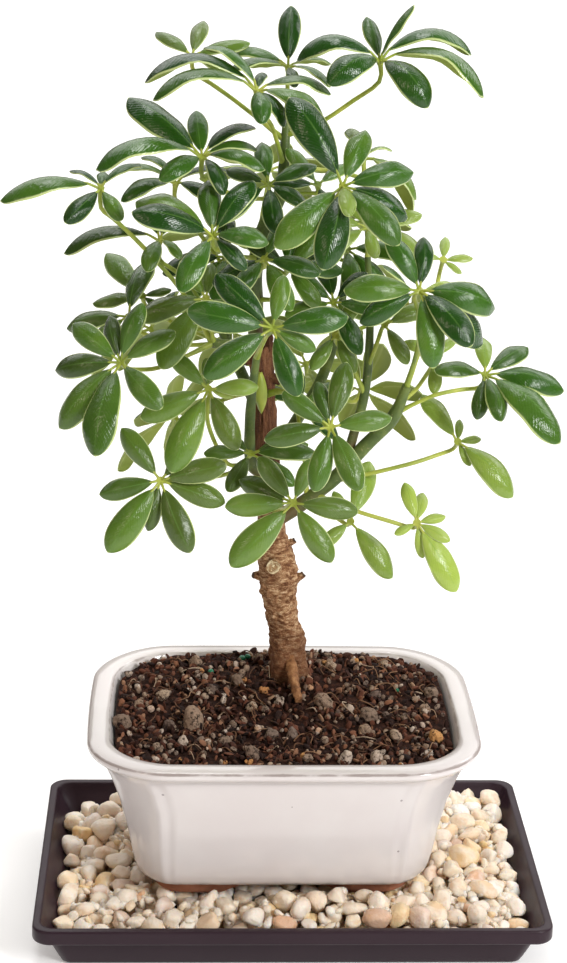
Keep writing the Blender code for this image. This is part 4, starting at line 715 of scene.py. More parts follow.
# place and radius of each bead
BEADS = ((-15.6, 37.0, 1.5), (-13.2, 38.8, 1.3), (-28.7, 25.7, 1.35), (47.7, 13.5, 0.9))
bead_points, bead_faces = many_stones(
    ball(3), [(x, y, float(soil_height(x, y)) + 0.9) for x, y, _ in BEADS],
    [(size, size * 0.95, size * 0.9) for _, _, size in BEADS], [np.eye(3)] * len(BEADS), soil_draw, 5, 8, 0.9)
beads = shape_piece("plant_food_beads", bead_points, bead_faces, [plant_food], sharp=80, place=POT_PLACE)
for piece in (soil_mound, crumbs, pumice_small, lumps, fibres, beads):
    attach(piece, "root")
    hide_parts("soil")


# Trunk
# A thick cutting with ringed, corky bark: tan and pinkish below, with a knot, cut twigs and old leaf
# scars, redder and fibrous above, where it was sawn off and has dried into a ragged stump.

TRUNK_LINE = (
    # x, y, z, radius
    (4.0, 22.0, 68.0, 9.2), (3.6, 22.0, 84.0, 9.4), (3.0, 22.0, 93.0, 8.2), (1.4, 21.0, 108.0, 7.3),
    (-0.5, 20.0, 122.0, 7.0), (-1.7, 19.6, 131.0, 7.9), (-3.2, 19.4, 141.0, 8.9), (-4.0, 19.0, 147.0, 7.4),
    (-4.8, 18.6, 155.0, 6.0), (-6.6, 18.0, 175.0, 5.4), (-8.6, 18.0, 206.0, 4.8), (-9.8, 18.0, 220.0, 5.0),
    (-10.4, 18.0, 230.0, 5.8))
TRUNK_SPAN = (68.5, 231.0)
TRUNK_ROWS, TRUNK_SIDES = 230, 72
# above this height the sawn end is ragged
RAGGED_FROM = 222
SURFACE_ROOT = ((3.2, 17.5, 100.0, 1.9), (4.2, 11.5, 95.5, 2.4), (5.2, 5.0, 91.4, 2.2),
                (6.6, -1.5, 87.4, 1.6))
TWIG_STUBS = (
    # root, tip, root radius, tip radius
    ((-5.0, 19.0, 133.0), (-12.2, 17.5, 134.4), 3.0, 1.3),
    ((2.0, 19.5, 130.0), (8.4, 18.0, 134.6), 2.8, 1.1),
    ((-3.5, 14.5, 141.0), (-4.2, 8.9, 141.0), 3.5, 2.9),
    ((0.0, 19.0, 146.0), (4.4, 17.6, 149.5), 1.8, 1.0),
    ((-11.0, 18.0, 226.0), (-17.0, 16.5, 224.0), 3.0, 1.6),
    ((-8.0, 17.0, 218.0), (-2.6, 14.8, 216.6), 2.6, 1.5))
STUMP_SPLINTERS = (
    ((-13.0, 17.0, 227.0), (-13.8, 16.4, 234.6), 2.4, 0.9),
    ((-7.6, 16.4, 227.0), (-7.0, 15.8, 236.0), 2.6, 1.0),
    ((-10.0, 21.0, 227.0), (-10.4, 21.6, 233.4), 2.4, 1.1))

bark_draw = np.random.default_rng(12)
ring_heights = []
height = 84.0
while height < 228:
    ring_heights.append((height, bark_draw.uniform(0.10, 0.42), bark_draw.uniform(0, math.tau),
                         bark_draw.uniform(0.6, 2.2)))
    height += bark_draw.uniform(3.4, 10.0)

# where old leaves broke off: height, place round the trunk (the front is at -pi/2) and half width
LEAF_SCARS = (
    (97, -1.2, 1.8), (104, -2.3, 2.0), (111, -1.0, 1.9), (118, -1.9, 2.2), (125, -0.9, 1.6), (128, -2.5, 2.0),
    (137, -0.8, 1.9), (149, -2.0, 1.9), (156, -1.2, 1.6), (108, 1.4, 2.1), (122, 2.2, 2.0), (138, 1.2, 2.0))


def grain_at(x, y, z, flat, upright, amount):
    """Noise whose grain has one scale across the trunk and another along it."""
    return noise.noise(Vector((x * flat, y * flat, z * upright))) * amount


def bark_relief(x, y, z, angle):
    """How far the bark stands out in mm: ring scars, corky plates and, higher up, upright fibres."""
    total = 0.0
    for ring_z, depth, turn, sway in ring_heights:
        away = z - ring_z - sway * math.sin(angle + turn) - 0.4 * math.sin(3 * angle + turn)
        if abs(away) < 3:
            broken = max(0.0, 0.35 + 1.7 * noise.noise(Vector((x * 0.3, y * 0.3, ring_z))))
            lip = math.exp(-(away / 0.55) ** 2) - 0.7 * math.exp(-((away - 1.1) / 0.6) ** 2)
            total += depth * broken * lip
    for scar_z, scar_turn, wide in LEAF_SCARS:
        if abs(z - scar_z) < 5:
            away = math.hypot(z - scar_z, 7.0 * ((angle - scar_turn + math.pi) % math.tau - math.pi)) / wide
            total += 0.6 * math.exp(-((away - 1.0) / 0.35) ** 2) - 0.8 * math.exp(-(away / 0.6) ** 2)
    low = max(0.0, min(1.0, (165 - z) / 20))
    cork = (grain_at(x, y, z, 0.11, 0.09, 1.9) + grain_at(x, y, z, 0.40, 0.42, 0.9)
            + grain_at(x, y, z, 1.0, 1.1, 0.35))
    fibre = grain_at(x, y, z, 1.1, 0.10, 0.8) + grain_at(x, y, z, 2.4, 0.3, 0.3)
    knot = math.exp(-((x + 4.0) ** 2 + (z - 141) ** 2) / 20) if y < 15 else 0.0
    return (total * (0.4 + 0.6 * low) + cork * low) * (1 - knot) - 0.6 * knot + fibre * (1 - low)


trunk_line = np.array(smooth_line(TRUNK_LINE, 24))
trunk_rings = []
for z in np.linspace(*TRUNK_SPAN, TRUNK_ROWS):
    x, y, radius = (np.interp(z, trunk_line[:, 2], trunk_line[:, k]) for k in (0, 1, 3))
    ring = []
    for side in range(TRUNK_SIDES):
        angle = math.tau * side / TRUNK_SIDES
        flare = 1 + 0.16 * max(0.0, (96 - z) / 12) * max(0.0, math.cos(3 * angle + 0.6))
        oval = 1 + 0.05 * math.cos(2 * angle + z * 0.02)
        reach = radius * oval * flare - 0.25
        px, py = x + reach * math.cos(angle), y + reach * math.sin(angle)
        reach += bark_relief(px, py, z, angle)
        ragged = 0.0
        if z > RAGGED_FROM:
            ragged = (noise.noise(Vector((px * 0.5, py * 0.5, 3.0))) * 4.5
                      + noise.noise(Vector((px * 1.6, py * 1.6, 7.0))) * 2.0) * (z - RAGGED_FROM) / 9
        ring.append((x + reach * math.cos(angle), y + reach * math.sin(angle), z + ragged))
    trunk_rings.append(ring)
# the sawn end has dried hollow
hollow = np.array(trunk_rings[-1])
middle = hollow.mean(axis=0)
for share, sink in ((0.82, 0.6), (0.6, 2.4), (0.35, 3.6), (0.1, 3.2)):
    ring = middle + (hollow - middle) * (share, share, 0.4)
    ring[:, 2] += -sink + np.array([noise.noise(Vector(point) * 0.9) for point in ring]) * 1.2
    trunk_rings.append(ring.tolist())
trunk_points, trunk_faces = loft_faces(trunk_rings)

bark, tree, shader = finish_of("ringed_bark", 0.85, Specular_IOR_Level=0.3)
bark_place = here(tree)
bark_squash, bark_stretch = (
    node_in(tree, "ShaderNodeMapping", {"Vector": bark_place, "Scale": (1.0, 1.0, upright)}).outputs[0]
    for upright in (2.6, 0.12))
bark_low = colour_steps(tree, cloud(tree, 330, 10, 0.78, bark_squash), (
    (0.30, (0.050, 0.016, 0.007)), (0.43, (0.15, 0.056, 0.022)), (0.51, (0.33, 0.165, 0.076)),
    (0.59, (0.58, 0.385, 0.215)), (0.69, (0.88, 0.71, 0.51))))
bark_high = colour_steps(tree, cloud(tree, 420, 6, 0.65, bark_stretch), (
    (0.30, (0.040, 0.016, 0.009)), (0.46, (0.11, 0.042, 0.020)), (0.60, (0.20, 0.085, 0.038)),
    (0.76, (0.34, 0.19, 0.10))))
bark_rise = calc(tree, "ADD", part_of(tree, bark_place, "Z"), scaled(tree, cloud(tree, 60), 0.03, -0.015))
bark_mixed = blend_colour(tree, between(tree, bark_rise, 0.150, 0.176), bark_low, bark_high)
bark_foot = between(tree, bark_rise, 0.120, 0.094)
bark_rusty = blend_colour(tree, bark_foot, bark_mixed, (0.16, 0.060, 0.025), 0.75)
# Painted shade: the bark darkens over the last few mm above the soil, where the trunk's foot lies in shadow.
bark_soil_line_shade = between(tree, bark_rise, 0.095, 0.084)
bark_soil_line_shaded = blend_colour(tree, bark_soil_line_shade, bark_rusty, (0.035, 0.018, 0.010), 0.8)
bark_flecks = between(tree, cloud(tree, 620, 6, 0.75), 0.56, 0.66)
bark_flecked = blend_colour(tree, bark_flecks, bark_soil_line_shaded, (0.070, 0.022, 0.008), 0.75)
cut_place = point_value(tree, "cut")
cut_rings = between(tree, calc(tree, "SINE", scaled(tree, cut_place, 38.0)), -0.4, 0.6)
cut_ringed = blend_colour(tree, cut_rings, (0.36, 0.22, 0.10), (0.80, 0.68, 0.44))
cut_colour = blend_colour(tree, point_value(tree, "pale"), (0.045, 0.022, 0.014), cut_ringed)
lay_on(tree, shader, blend_colour(tree, between(tree, cut_place, 0.10, 0.40), bark_flecked, cut_colour),
       300, 1700, 0.6, 1.0, 0.0010)


def stub_shape(root, tip, wide, slim, sides=18):
    """A cut twig: a rough cylinder with a shallow ringed end."""
    root, tip = Vector(root), Vector(tip)
    ahead = (tip - root).normalized()
    line = [(*root.lerp(tip, share), wide + (slim - wide) * share)
            for share in (0, 0.2, 0.4, 0.6, 0.75, 0.88, 0.97)]
    for inward, back in ((0.93, 0.0), (0.82, 0.25), (0.68, 0.05), (0.5, 0.30), (0.32, 0.10), (0.12, 0.25)):
        line.append((*(tip - ahead * back), slim * inward))
    points, faces = tube_shape(line, sides, lambda t, angle: 1 + 0.10 * math.sin(3 * angle + t * 5)
                               + 0.06 * math.sin(7 * angle))
    cut = np.repeat((0, 0, 0, 0, 0.05, 0.15, 0.25, 0.35, 0.45, 0.6, 0.75, 0.9, 1.0), sides)
    pale = [1.0 if slim > 2 else 0.0] * len(points)
    return rumpled(points, (0.9, 0.5)), faces, 0, {"cut": cut, "pale": pale}


uncut = [0.0] * len(trunk_points)
trunk_parts = [(trunk_points, trunk_faces, 0, {"cut": uncut, "pale": uncut})]
trunk_parts += [stub_shape(*stub) for stub in TWIG_STUBS + STUMP_SPLINTERS]
points, faces, _, values = gather(trunk_parts)
trunk = shape_piece("bark_trunk", points, faces, [bark], values=values, sharp=60, place=POT_PLACE)

root_bark, tree, shader = finish_of("surface_root_bark", 0.75, Specular_IOR_Level=0.3)
root_tone = colour_steps(tree, cloud(tree, 330, 6, 0.65), (
    (0.30, (0.10, 0.040, 0.018)), (0.50, (0.28, 0.125, 0.050)), (0.70, (0.46, 0.24, 0.11))))
lay_on(tree, shader, root_tone, 500, 1600, 0.45, 0.8, 0.0006)
points, faces = tube_shape(smooth_line(SURFACE_ROOT, 14), 24, lambda t, angle: (
    0.92 + 0.08 * math.sin(2 * angle + t * 9) + 0.05 * math.sin(t * 60)))
surface_root = shape_piece("surface_root", rumpled(points, (0.6, 0.45)), faces, [root_bark], sharp=70,
                           place=POT_PLACE)
for piece in (trunk, surface_root):
    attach(piece, "root")
    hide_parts("trunk")


# Green growth
# Young stems that broke from the trunk after it was cut back: a leader beside the stump, a branch to
# the right with an upright shoot on it, and slimmer ones left, front and back. Each leaf is a long
# stalk with a whorl of leathery leaflets that arch down round its end like the ribs of an umbrella.

LEAFLET_STALK = 0.13
LEAFLET_ASPECT = 0.39
BLADE_BROADEST = 0.60
TURNED_BACK = 18
BLADE_THICK = 1.0
CLEARANCE = 0.4
LOWEST_LEAF = 96.0

# Each green stem: the wood's line as x, y, z, radius (mm)
STEMS = {
    "leader": ((-10.0, 19.5, 218.0, 3.0), (-12.2, 26.4, 230.0, 3.1), (-12.6, 25.0, 245.0, 3.1),
        (-13.0, 22.5, 260.0, 3.1), (-9.5, 22.0, 277.0, 2.9), (-4.0, 22.0, 289.0, 2.6),
        (-2.5, 22.5, 303.0, 2.0), (-1.8, 25.0, 320.0, 1.5)),
    "left_stem": ((-11.5, 16.0, 228.5, 2.2), (-20.0, 13.0, 231.5, 2.1), (-29.5, 12.0, 232.5, 1.8)),
    "front_stem": ((-8.0, 15.0, 178.0, 2.2), (-13.6, 9.6, 184.0, 2.3), (-14.6, 8.0, 198.0, 2.1),
        (-14.0, 6.5, 214.0, 1.8), (-12.4, 4.5, 229.0, 1.5)),
    "right_branch": ((-3.0, 17.5, 158.0, 3.0), (6.3, 17.5, 164.5, 3.0), (20.0, 15.0, 177.0, 2.9),
        (31.0, 12.0, 191.0, 2.7), (41.5, 10.0, 203.5, 2.6), (46.5, 8.5, 217.0, 1.8)),
    "low_front_leaf": ((-5.0, 15.5, 163.0, 1.5), (-3.5, 8.0, 166.5, 1.2)),
    "middle_leaf": ((-8.5, 15.5, 211.0, 1.6), (-4.0, 10.0, 214.0, 1.3)),
    "back_left_stem": ((-9.0, 20.0, 198.0, 2.4), (-16.0, 30.0, 212.0, 2.3), (-25.0, 40.0, 230.0, 2.0),
        (-29.0, 46.0, 248.0, 1.6)),
    "back_right_stem": ((-5.0, 20.5, 182.0, 2.6), (4.0, 32.0, 194.0, 2.5), (15.0, 42.0, 210.0, 2.2),
        (22.0, 50.0, 231.0, 1.7), (24.0, 54.0, 250.0, 1.4)),
}
# The upright shoot grows on the right branch and is one body with it
UPRIGHT_SHOOT = ((22.5, 14.6, 179.0, 2.0), (26.5, 15.0, 194.0, 1.9), (31.0, 15.5, 214.0, 1.8),
                 (32.0, 17.0, 240.0, 1.6),
                 (30.5, 19.5, 266.0, 1.2))

# Each whorl: stem, place where its stalk leaves the wood, bends on the way, hub, facing (turn to the
# right of straight ahead, lift above level), usual rise and arch of its leaflets, and the leaflets as
# (bearing round the hub, reach in mm) with a rise, an arch and a roll of their own where they differ;
# a leaflet rolled by a positive angle shows more of its upper face to the front.
WHORLS = {
    "top_right": ("leader", (-2.0, 24.0, 312.0), ((12, 17, 319),), (32, 10, 342), (0, 92), -2, 100,
        ((12, 36, 4, 125, 14), (-14, 41, -16, 120), (-49, 29, -29, 120, 30), (-140, 27, -14, 120, 40),
        (172, 31, 0, 130, 34), (112, 20, 52, 50), (-34, 26, 58, 40, 30))),
    "top_centre": ("leader", (-1.8, 25.0, 320.0), (), (-1.5, 28, 337), (0, 92), 4, 85, ((85, 26, 58, 35),
        (152, 26, 8, 80, 20), (188, 24, -4, 85, 20), (166, 17, 18, 60), (12, 17), (-35, 20, -17),
        (-80, 14, -25))),
    "top_left": ("leader", (-3.0, 22.5, 301.0), ((-8, 10, 318),), (-14, 0, 332), (0, 92), 0, 100,
        ((190, 39, -4, 110, 16), (172, 42, 3, 120, 12), (150, 27, 24), (-85, 20, -28), (-56, 19, -36),
        (-24, 28, -20, 100, 30), (8, 28, -2, 100, 16), (75, 12, 28))),
    "young_top_left": ("leader", (-2.2, 23.5, 310.0), ((-22, 32, 324),), (-38, 38, 339), (-10, 60), 10, 60,
        ((13, 23), (-20, 19), (84, 19), (146, 19))),
    "upper_left": ("leader", (-4.5, 22.0, 288.0), ((-20, 8, 291),), (-34, -5, 308), (0, 92), 0, 95,
        ((143, 40, 29, 45, 28), (104, 23, 42, 40, 10), (42, 26, 22, 95, 14), (20, 22, 15, 95, 14),
        (-22, 25, -6, 95, 30), (186, 40, -5, 105, 28), (222, 22, -16, 100, 45), (-62, 20, -34))),
    "far_left": ("left_stem", (-29.5, 12.0, 232.5), ((-42, 12, 254), (-60, 9, 275)), (-72, 5, 294), (0, 92),
        0, 80, ((189, 38, -6, 80, 28), (229, 22, -28, 60, 45), (-58, 18, -32, 60, 30), (30, 19, 24, 90, 10),
        (150, 15, 22), (100, 12, 35))),
    "centre_left": ("leader", (-12.2, 22.3, 264.0), ((-22, 2, 270),), (-30, -25, 283), (-5, 45), 3, 75,
        ((156, 32, 3, 95), (179, 32, 8, 85), (97, 24), (62, 26), (-14, 22, 12, 100), (248, 27),
        (-44, 18, -8))),
    "left_inner": ("left_stem", (-29.0, 12.0, 232.5), ((-37, 20, 252),), (-50, 15, 272), (0, 92), 0, 95,
        ((187, 37, -8, 95, 18), (250, 20, -25), (-60, 14, -20), (120, 20, 28), (60, 22, 24))),
    "centre_right": ("leader", (-8.6, 21.0, 279.0), ((6, 4, 281),), (17, -25, 302), (10, 35), 0, 75,
        ((118, 38), (63, 25), (8, 27, 6, 90), (-25, 27, 0, 90), (-50, 31), (-95, 18, 30), (-109, 34),
        (-136, 34))),
    "front_centre": ("front_stem", (-12.4, 4.5, 229.0), ((-9.5, -16, 243),), (-8, -38, 252), (-5, 24), 2,
        60, ((138, 29), (172, 32), (218, 31), (80, 20), (10, 28, 4, 80), (-67, 27), (-24, 18, -14))),
    "left": ("left_stem", (-29.5, 12.0, 232.5), ((-50, 0, 226),), (-64, -15, 232), (-25, 32), 0, 70,
        ((194, 27), (231, 34), (273, 39), (-36, 26), (38, 24), (73, 24), (112, 20), (152, 25))),
    "left_behind": ("left_stem", (-27.0, 12.2, 232.3), ((-46, 20, 230),), (-62, 22, 240), (-30, 50), 0, 80,
        ((202, 26), (228, 20), (98, 28), (10, 18))),
    "left_middle": ("left_stem", (-29.0, 12.0, 232.5), (), (-32, 5, 252), (-10, 38), 0, 65, ((200, 28),
        (239, 33), (88, 15), (117, 18), (176, 24), (-25, 20))),
    "young_left": ("front_stem", (-13.8, 9.2, 186.0), ((-23, 7, 185), (-31, -4, 205)), (-31, -12, 221),
        (-5, 25), 2, 55, ((140, 20), (96, 12), (206, 28), (243, 35), (-62, 26), (4, 19), (-12, 10))),
    "low_left": ("front_stem", (-13.7, 9.5, 184.5), ((-26, 4, 181),), (-49, -20, 187), (-8, 22), 2, 55,
        ((130, 25), (50, 20), (196, 24), (237, 34), (-64, 30), (15, 27), (258, 20), (-16, 26))),
    "trunk_side": ("front_stem", (-14.2, 8.8, 189.0), (), (-14.5, 1, 191), (10, 50), 0, 60, ((236, 20),
        (8, 24), (-14, 26), (-44, 22), (176, 19), (130, 14))),
    "low_centre": ("low_front_leaf", (-3.5, 8.0, 166.5), ((-1, -8, 172),), (1.5, -25, 180), (0, 22), 2, 55,
        ((184, 26), (226, 34), (-57, 27), (-14, 25), (128, 22), (156, 24, -12), (68, 18))),
    "right": ("right_branch", (46.5, 8.5, 217.0), ((50, 0, 240),), (47, -20, 262), (10, 30), 2, 75,
        ((80, 21), (112, 24), (178, 29), (203, 25), (-86, 30), (-60, 31, 4), (-14, 30, 6, 115),
        (-37, 33, -8, 95), (3, 17, -8), (-66, 19))),
    "far_right": ("right_branch", (42.0, 9.8, 205.0), ((58, 10, 213),), (77, 10, 221), (15, 55), 0, 80,
        ((178, 22, 10), (26, 23, 8), (-13, 32), (-54, 41), (-84, 23), (78, 20), (248, 19))),
    "middle": ("middle_leaf", (-4.0, 10.0, 214.0), ((4, -15, 219),), (14, -40, 215), (0, 25), 2, 55,
        ((192, 25), (76, 25), (9, 23), (-104, 25), (-66, 27), (150, 22), (112, 18))),
    "young_top_right": ("right_branch", (46.0, 8.6, 215.5), ((55, 20, 238),), (61, 30, 262), (10, 55), 5,
        50, ((75, 12), (0, 12), (-45, 9), (160, 11))),
    "young_right": ("right_branch", (18.0, 15.4, 175.0), ((32, 13, 179), (52, 14, 184)), (68, 15, 192),
        (10, 40), 0, 55, ((118, 24), (75, 10), (5, 10), (-70, 11), (-52, 31, 0, 80))),
    "right_pale": ("right_branch", (43.5, 9.4, 209.0), ((51, 15, 214),), (59, 22, 225), (5, 40), 0, 60,
        ((262, 16), (45, 12), (150, 14))),
    "young_low_right": ("right_branch", (12.0, 16.6, 169.5), ((28, 3, 167),), (51, -5, 165), (5, 35), 0, 55,
        ((206, 10), (102, 17), (72, 15), (12, 12), (-28, 15), (-55, 31), (-80, 14))),
    "low_right": ("right_branch", (8.0, 17.2, 166.0), (), (26, 10, 160), (10, 35), 0, 60, ((216, 16),
        (66, 27), (-59, 28), (112, 14))),
    "inner_right": ("right_branch", (31.5, 16.0, 222.0), (), (37, 10, 241), (10, 35), 0, 60, ((-60, 18),
        (150, 20), (20, 20))),
    "inner_centre": ("right_branch", (30.5, 15.4, 212.0), ((24, 11, 226),), (18, 5, 238), (-5, 35), 0, 60,
        ((-62, 17), (238, 17), (140, 18), (60, 18))),
    "shoot_tip": ("right_branch", (30.5, 19.5, 266.0), (), (30, 20, 277), (0, 50), 5, 60, ((172, 24),
        (14, 22), (-80, 16), (60, 18), (128, 20), (-28, 26, -6), (214, 22, -6))),
    "left_upright": ("left_stem", (-22.0, 12.6, 231.8), ((-40, 28, 234),), (-57, 35, 245), (-20, 50), 5, 55,
        ((139, 27), (20, 12), (-10, 13), (200, 20))),
    "behind_right": ("leader", (-2.6, 22.4, 300.0), ((14, 27, 298),), (28, 25, 303), (0, 92), 10, 100,
        ((25, 13), (-20, 26, -34), (8, 31, -45), (110, 18, 30))),
    "inner_top": ("leader", (-5.0, 22.0, 287.0), (), (10, 12, 295), (0, 50), 0, 60, ((180, 18), (132, 24),
        (40, 16), (-74, 20))),
    "shade_centre": ("leader", (-12.6, 22.4, 262.0), (), (-1, 12, 262), (10, 40), 0, 80, ((150, 20),
        (95, 22), (48, 24), (4, 22), (-58, 20))),
    "shade_right": ("leader", (-9.5, 22.0, 277.0), ((8, 30, 270),), (23, 30, 266), (10, 50), 0, 80,
        ((-12, 25), (-50, 24), (200, 22), (120, 18), (-95, 22))),
    "shade_top": ("leader", (-6.5, 22.0, 283.0), (), (-9, 6, 296), (-10, 45), 0, 75, ((104, 20), (160, 18),
        (212, 25), (-75, 22), (-28, 18), (30, 20))),
    "shade_middle": ("leader", (-12.2, 23.4, 256.0), (), (-10, 3, 268), (-5, 40), 0, 75, ((200, 22),
        (238, 20), (-62, 24), (-20, 22), (62, 16))),
    "shade_left": ("leader", (-13.0, 22.5, 259.0), (), (-24, 32, 262), (-15, 50), 0, 80, ((190, 26),
        (100, 20), (-90, 22), (232, 24))),
    "high_left": ("leader", (-12.6, 25.4, 241.0), ((-28, 34, 262),), (-44, 26, 292), (0, 92), 0, 100,
        ((176, 26, 6, 100, 12), (208, 24, -12, 100, 30), (150, 18, 30), (14, 22, 10, 95, 14),
        (-36, 20, -14, 95, 30))),
    "inner_low": ("leader", (-12.8, 24.6, 247.0), (), (17, 9, 250), (5, 40), 0, 65, ((96, 22), (140, 20),
        (196, 20), (-62, 24), (-18, 20), (40, 18))),
    "low_inner": ("right_branch", (9.0, 17.0, 167.0), (), (6, 24, 204), (10, 45), 0, 60, ((148, 18),
        (24, 22), (90, 18), (-50, 20))),
}

# Whorls on the far side, which the photograph shows only through gaps: stem, start, hub, facing
FAR_WHORLS = {
    "far_side_1": ("back_left_stem", (-29.0, 46.0, 248.0), (-30, 52, 266), (170, 62)),
    "far_side_2": ("back_left_stem", (-25.0, 40.0, 230.0), (-54, 50, 228), (235, 40)),
    "far_side_3": ("back_left_stem", (-19.0, 33.5, 218.0), (-22, 62, 224), (185, 35)),
    "far_side_4": ("back_left_stem", (-14.0, 27.5, 208.5), (-44, 34, 196), (225, 25)),
    "far_side_5": ("back_right_stem", (24.0, 54.0, 250.0), (25, 58, 270), (165, 60)),
    "far_side_6": ("back_right_stem", (20.0, 47.5, 224.0), (50, 52, 238), (125, 45)),
    "far_side_7": ("back_right_stem", (13.0, 40.5, 207.0), (10, 66, 209), (180, 30)),
    "far_side_8": ("back_right_stem", (8.0, 35.5, 200.0), (32, 52, 202), (150, 28)),
    "far_side_9": ("leader", (-12.6, 22.6, 262.0), (-8, 54, 292), (180, 52)),
}


def far_leaflets(draw):
    """Six leaflets spread evenly round the hub, each a little off its place."""
    start = draw.uniform(0, 60)
    return tuple((start + i * 60 + draw.uniform(-9, 9), draw.uniform(24, 33)) for i in range(6))


def whorl_list():
    draw = random.Random(19)
    whorls = [(name, *row) for name, row in WHORLS.items()]
    for name, (stem, start, hub, facing) in FAR_WHORLS.items():
        whorls.append((name, stem, start, (), hub, facing, 0, 60, far_leaflets(draw)))
    return whorls


def facing_axes(facing):
    turn, lift = (math.radians(angle) for angle in facing)
    face = Vector((math.sin(turn) * math.cos(lift), -math.cos(turn) * math.cos(lift), math.sin(lift)))
    right = Vector((math.cos(turn), math.sin(turn), 0.0))
    return face, right, face.cross(right)


def stalk_line(start, bends, hub, facing, sway):
    """The leaf stalk: out of the wood, through its bends, and along the whorl's facing at the hub."""
    face = facing_axes(facing)[0]
    hub = Vector(hub)
    start = Vector(start)
    length = (hub - start).length
    approach = hub - face * min(0.22 * length, 7.0) + Vector(sway) * 0.5
    middle = [Vector(bend) + Vector(sway) for bend in bends] or [start.lerp(hub, 0.45) + Vector(sway)]
    slim = 0.85
    line = smooth_line([(*start, 1.1)] + [(*bend, slim) for bend in middle] + [(*approach, slim)], 2)
    return line + [(*(hub + face * 0.9), 2.0)]


def blade_width(share):
    """Half width of a blade along it, 1 at its broadest: a narrow foot and a round end."""
    if share < BLADE_BROADEST:
        return math.sin(math.pi / 2 * share / BLADE_BROADEST) ** 0.68
    return math.sqrt(max(1 - ((share - BLADE_BROADEST) / (1 - BLADE_BROADEST)) ** 2, 0.0))


class Leaflet:
    """One leaflet: a short stalk and an arched blade that leave the hub in a given direction."""

    def __init__(self, hub, facing, bearing, reach, rise, arch, roll):
        self.reach = reach
        face, right, up = facing_axes(facing)
        around, above = math.radians(bearing), math.radians(rise)
        self.hub = Vector(hub)
        self.out = (math.cos(above) * (math.cos(around) * right + math.sin(around) * up)
                    + math.sin(above) * face)
        self.normal = (face - self.out * face.dot(self.out)).normalized()
        if facing[1] > 80:
            roll -= TURNED_BACK * abs(self.out.x) ** 3
        forward = 1 if self.out.cross(self.normal).y < 0 else -1
        self.normal.rotate(Quaternion(self.out, math.radians(roll) * forward))
        self.side = self.normal.cross(self.out)
        self.half_arch = math.radians(arch) / 2
        steps = 24
        self.angles = [self.half_arch - 2 * self.half_arch * (i / steps) ** 1.3 for i in range(steps + 1)]
        self.track = [(0.0, 0.0)]
        for before, after in zip(self.angles, self.angles[1:]):
            along, above = self.track[-1]
            middle = (before + after) / 2
            self.track.append((along + math.cos(middle) / steps, above + math.sin(middle) / steps))
        end = self.track[-1]
        self.length = reach / math.hypot(*end)
        self.turn = -math.atan2(end[1], end[0])

    def row(self, t):
        """Centre, direction and upper normal at a share of the leaflet's length."""
        place = min(max(t, 0.0), 1.0) * (len(self.track) - 1)
        i = min(int(place), len(self.track) - 2)
        part = place - i
        along = (self.track[i][0] * (1 - part) + self.track[i + 1][0] * part) * self.length
        above = (self.track[i][1] * (1 - part) + self.track[i + 1][1] * part) * self.length
        angle = self.angles[i] * (1 - part) + self.angles[i + 1] * part + self.turn
        c, s = math.cos(self.turn), math.sin(self.turn)
        centre = self.hub + self.out * (along * c - above * s) + self.normal * (along * s + above * c)
        return (centre, self.out * math.cos(angle) + self.normal * math.sin(angle),
                self.normal * math.cos(angle) - self.out * math.sin(angle))

    def half_width(self, t):
        """Half the blade's width: slim stalk, then a blade that is broadest past its middle."""
        if t < LEAFLET_STALK:
            return 0.5
        blade = (t - LEAFLET_STALK) / (1 - LEAFLET_STALK)
        full = LEAFLET_ASPECT * self.length * (1 - LEAFLET_STALK) / 2
        return max(full * blade_width(blade), 0.6)

    def rings(self, shares, pad=0.0):
        """Sections of an edge, the raised middle and the other edge, and at last the tip."""
        rings = []
        for t in shares:
            centre, direction, normal = self.row(t)
            half = self.half_width(t) + 1.5 * pad
            drop = max(0.28 * half, BLADE_THICK / 2) + pad
            rings.append([centre + self.side * half - normal * drop,
                          centre + normal * (BLADE_THICK / 2 + pad),
                          centre - self.side * half - normal * drop])
        centre, direction, normal = self.row(1.0)
        return rings + [[centre - normal * BLADE_THICK / 2 + direction * pad]]

    def shares(self, start):
        blade = (0.36, 0.62, 0.88) if self.reach >= 28 else (0.44, 0.82)
        return [start] + [share for share in (LEAFLET_STALK, *blade) if share > start + 0.02]


def solid_faces(rings):
    """Corner points and triangles of a closed solid through rings; the last may be a single tip."""
    points = [point for ring in rings for point in ring]
    count = len(rings[0])
    faces = [(0, i, i + 1) for i in range(1, count - 1)]
    for k in range(len(rings) - 1):
        for i in range(count):
            j = (i + 1) % count
            a, b, c, d = count * k + i, count * k + j, count * (k + 1) + j, count * (k + 1) + i
            if len(rings[k + 1]) == 1:
                faces.append((a, count * (k + 1), b))
            elif i == 1:
                faces += [(a, d, c), (a, c, b)]
            else:
                faces += [(a, d, b), (b, d, c)]
    if len(rings[-1]) > 1:
        last = count * (len(rings) - 1)
        faces += [(last, last + i + 1, last + i) for i in range(1, count - 1)]
    return points, faces


def tube_rings(line, pad):
    """Square sections round a line, enough to tell what comes near it."""
    rings = []
    for i, (x, y, z, radius) in enumerate(line):
        before, after = Vector(line[max(i - 1, 0)][:3]), Vector(line[min(i + 1, len(line) - 1)][:3])
        ahead = (after - before).normalized()
        across = ahead.orthogonal() if i == 0 else across - ahead * across.dot(ahead)
        across.normalize()
        other = ahead.cross(across)
        size = (radius + pad) * 1.25
        centre = Vector((x, y, z))
        rings.append([centre + across * size, centre + other * size,
                      centre - across * size, centre - other * size])
    return rings


class Body:
    """A thickened copy of something already in place, to test newcomers against."""

    def __init__(self, rings, owner):
        points, faces = solid_faces(rings)
        self.owner = owner
        self.tree = BVHTree.FromPolygons(points, faces)
        self.low = Vector(map(min, *points))
        self.high = Vector(map(max, *points))

    def meets(self, other):
        if any(self.low[i] > other.high[i] or other.low[i] > self.high[i] for i in range(3)):
            return False
        return bool(self.tree.overlap(other.tree))


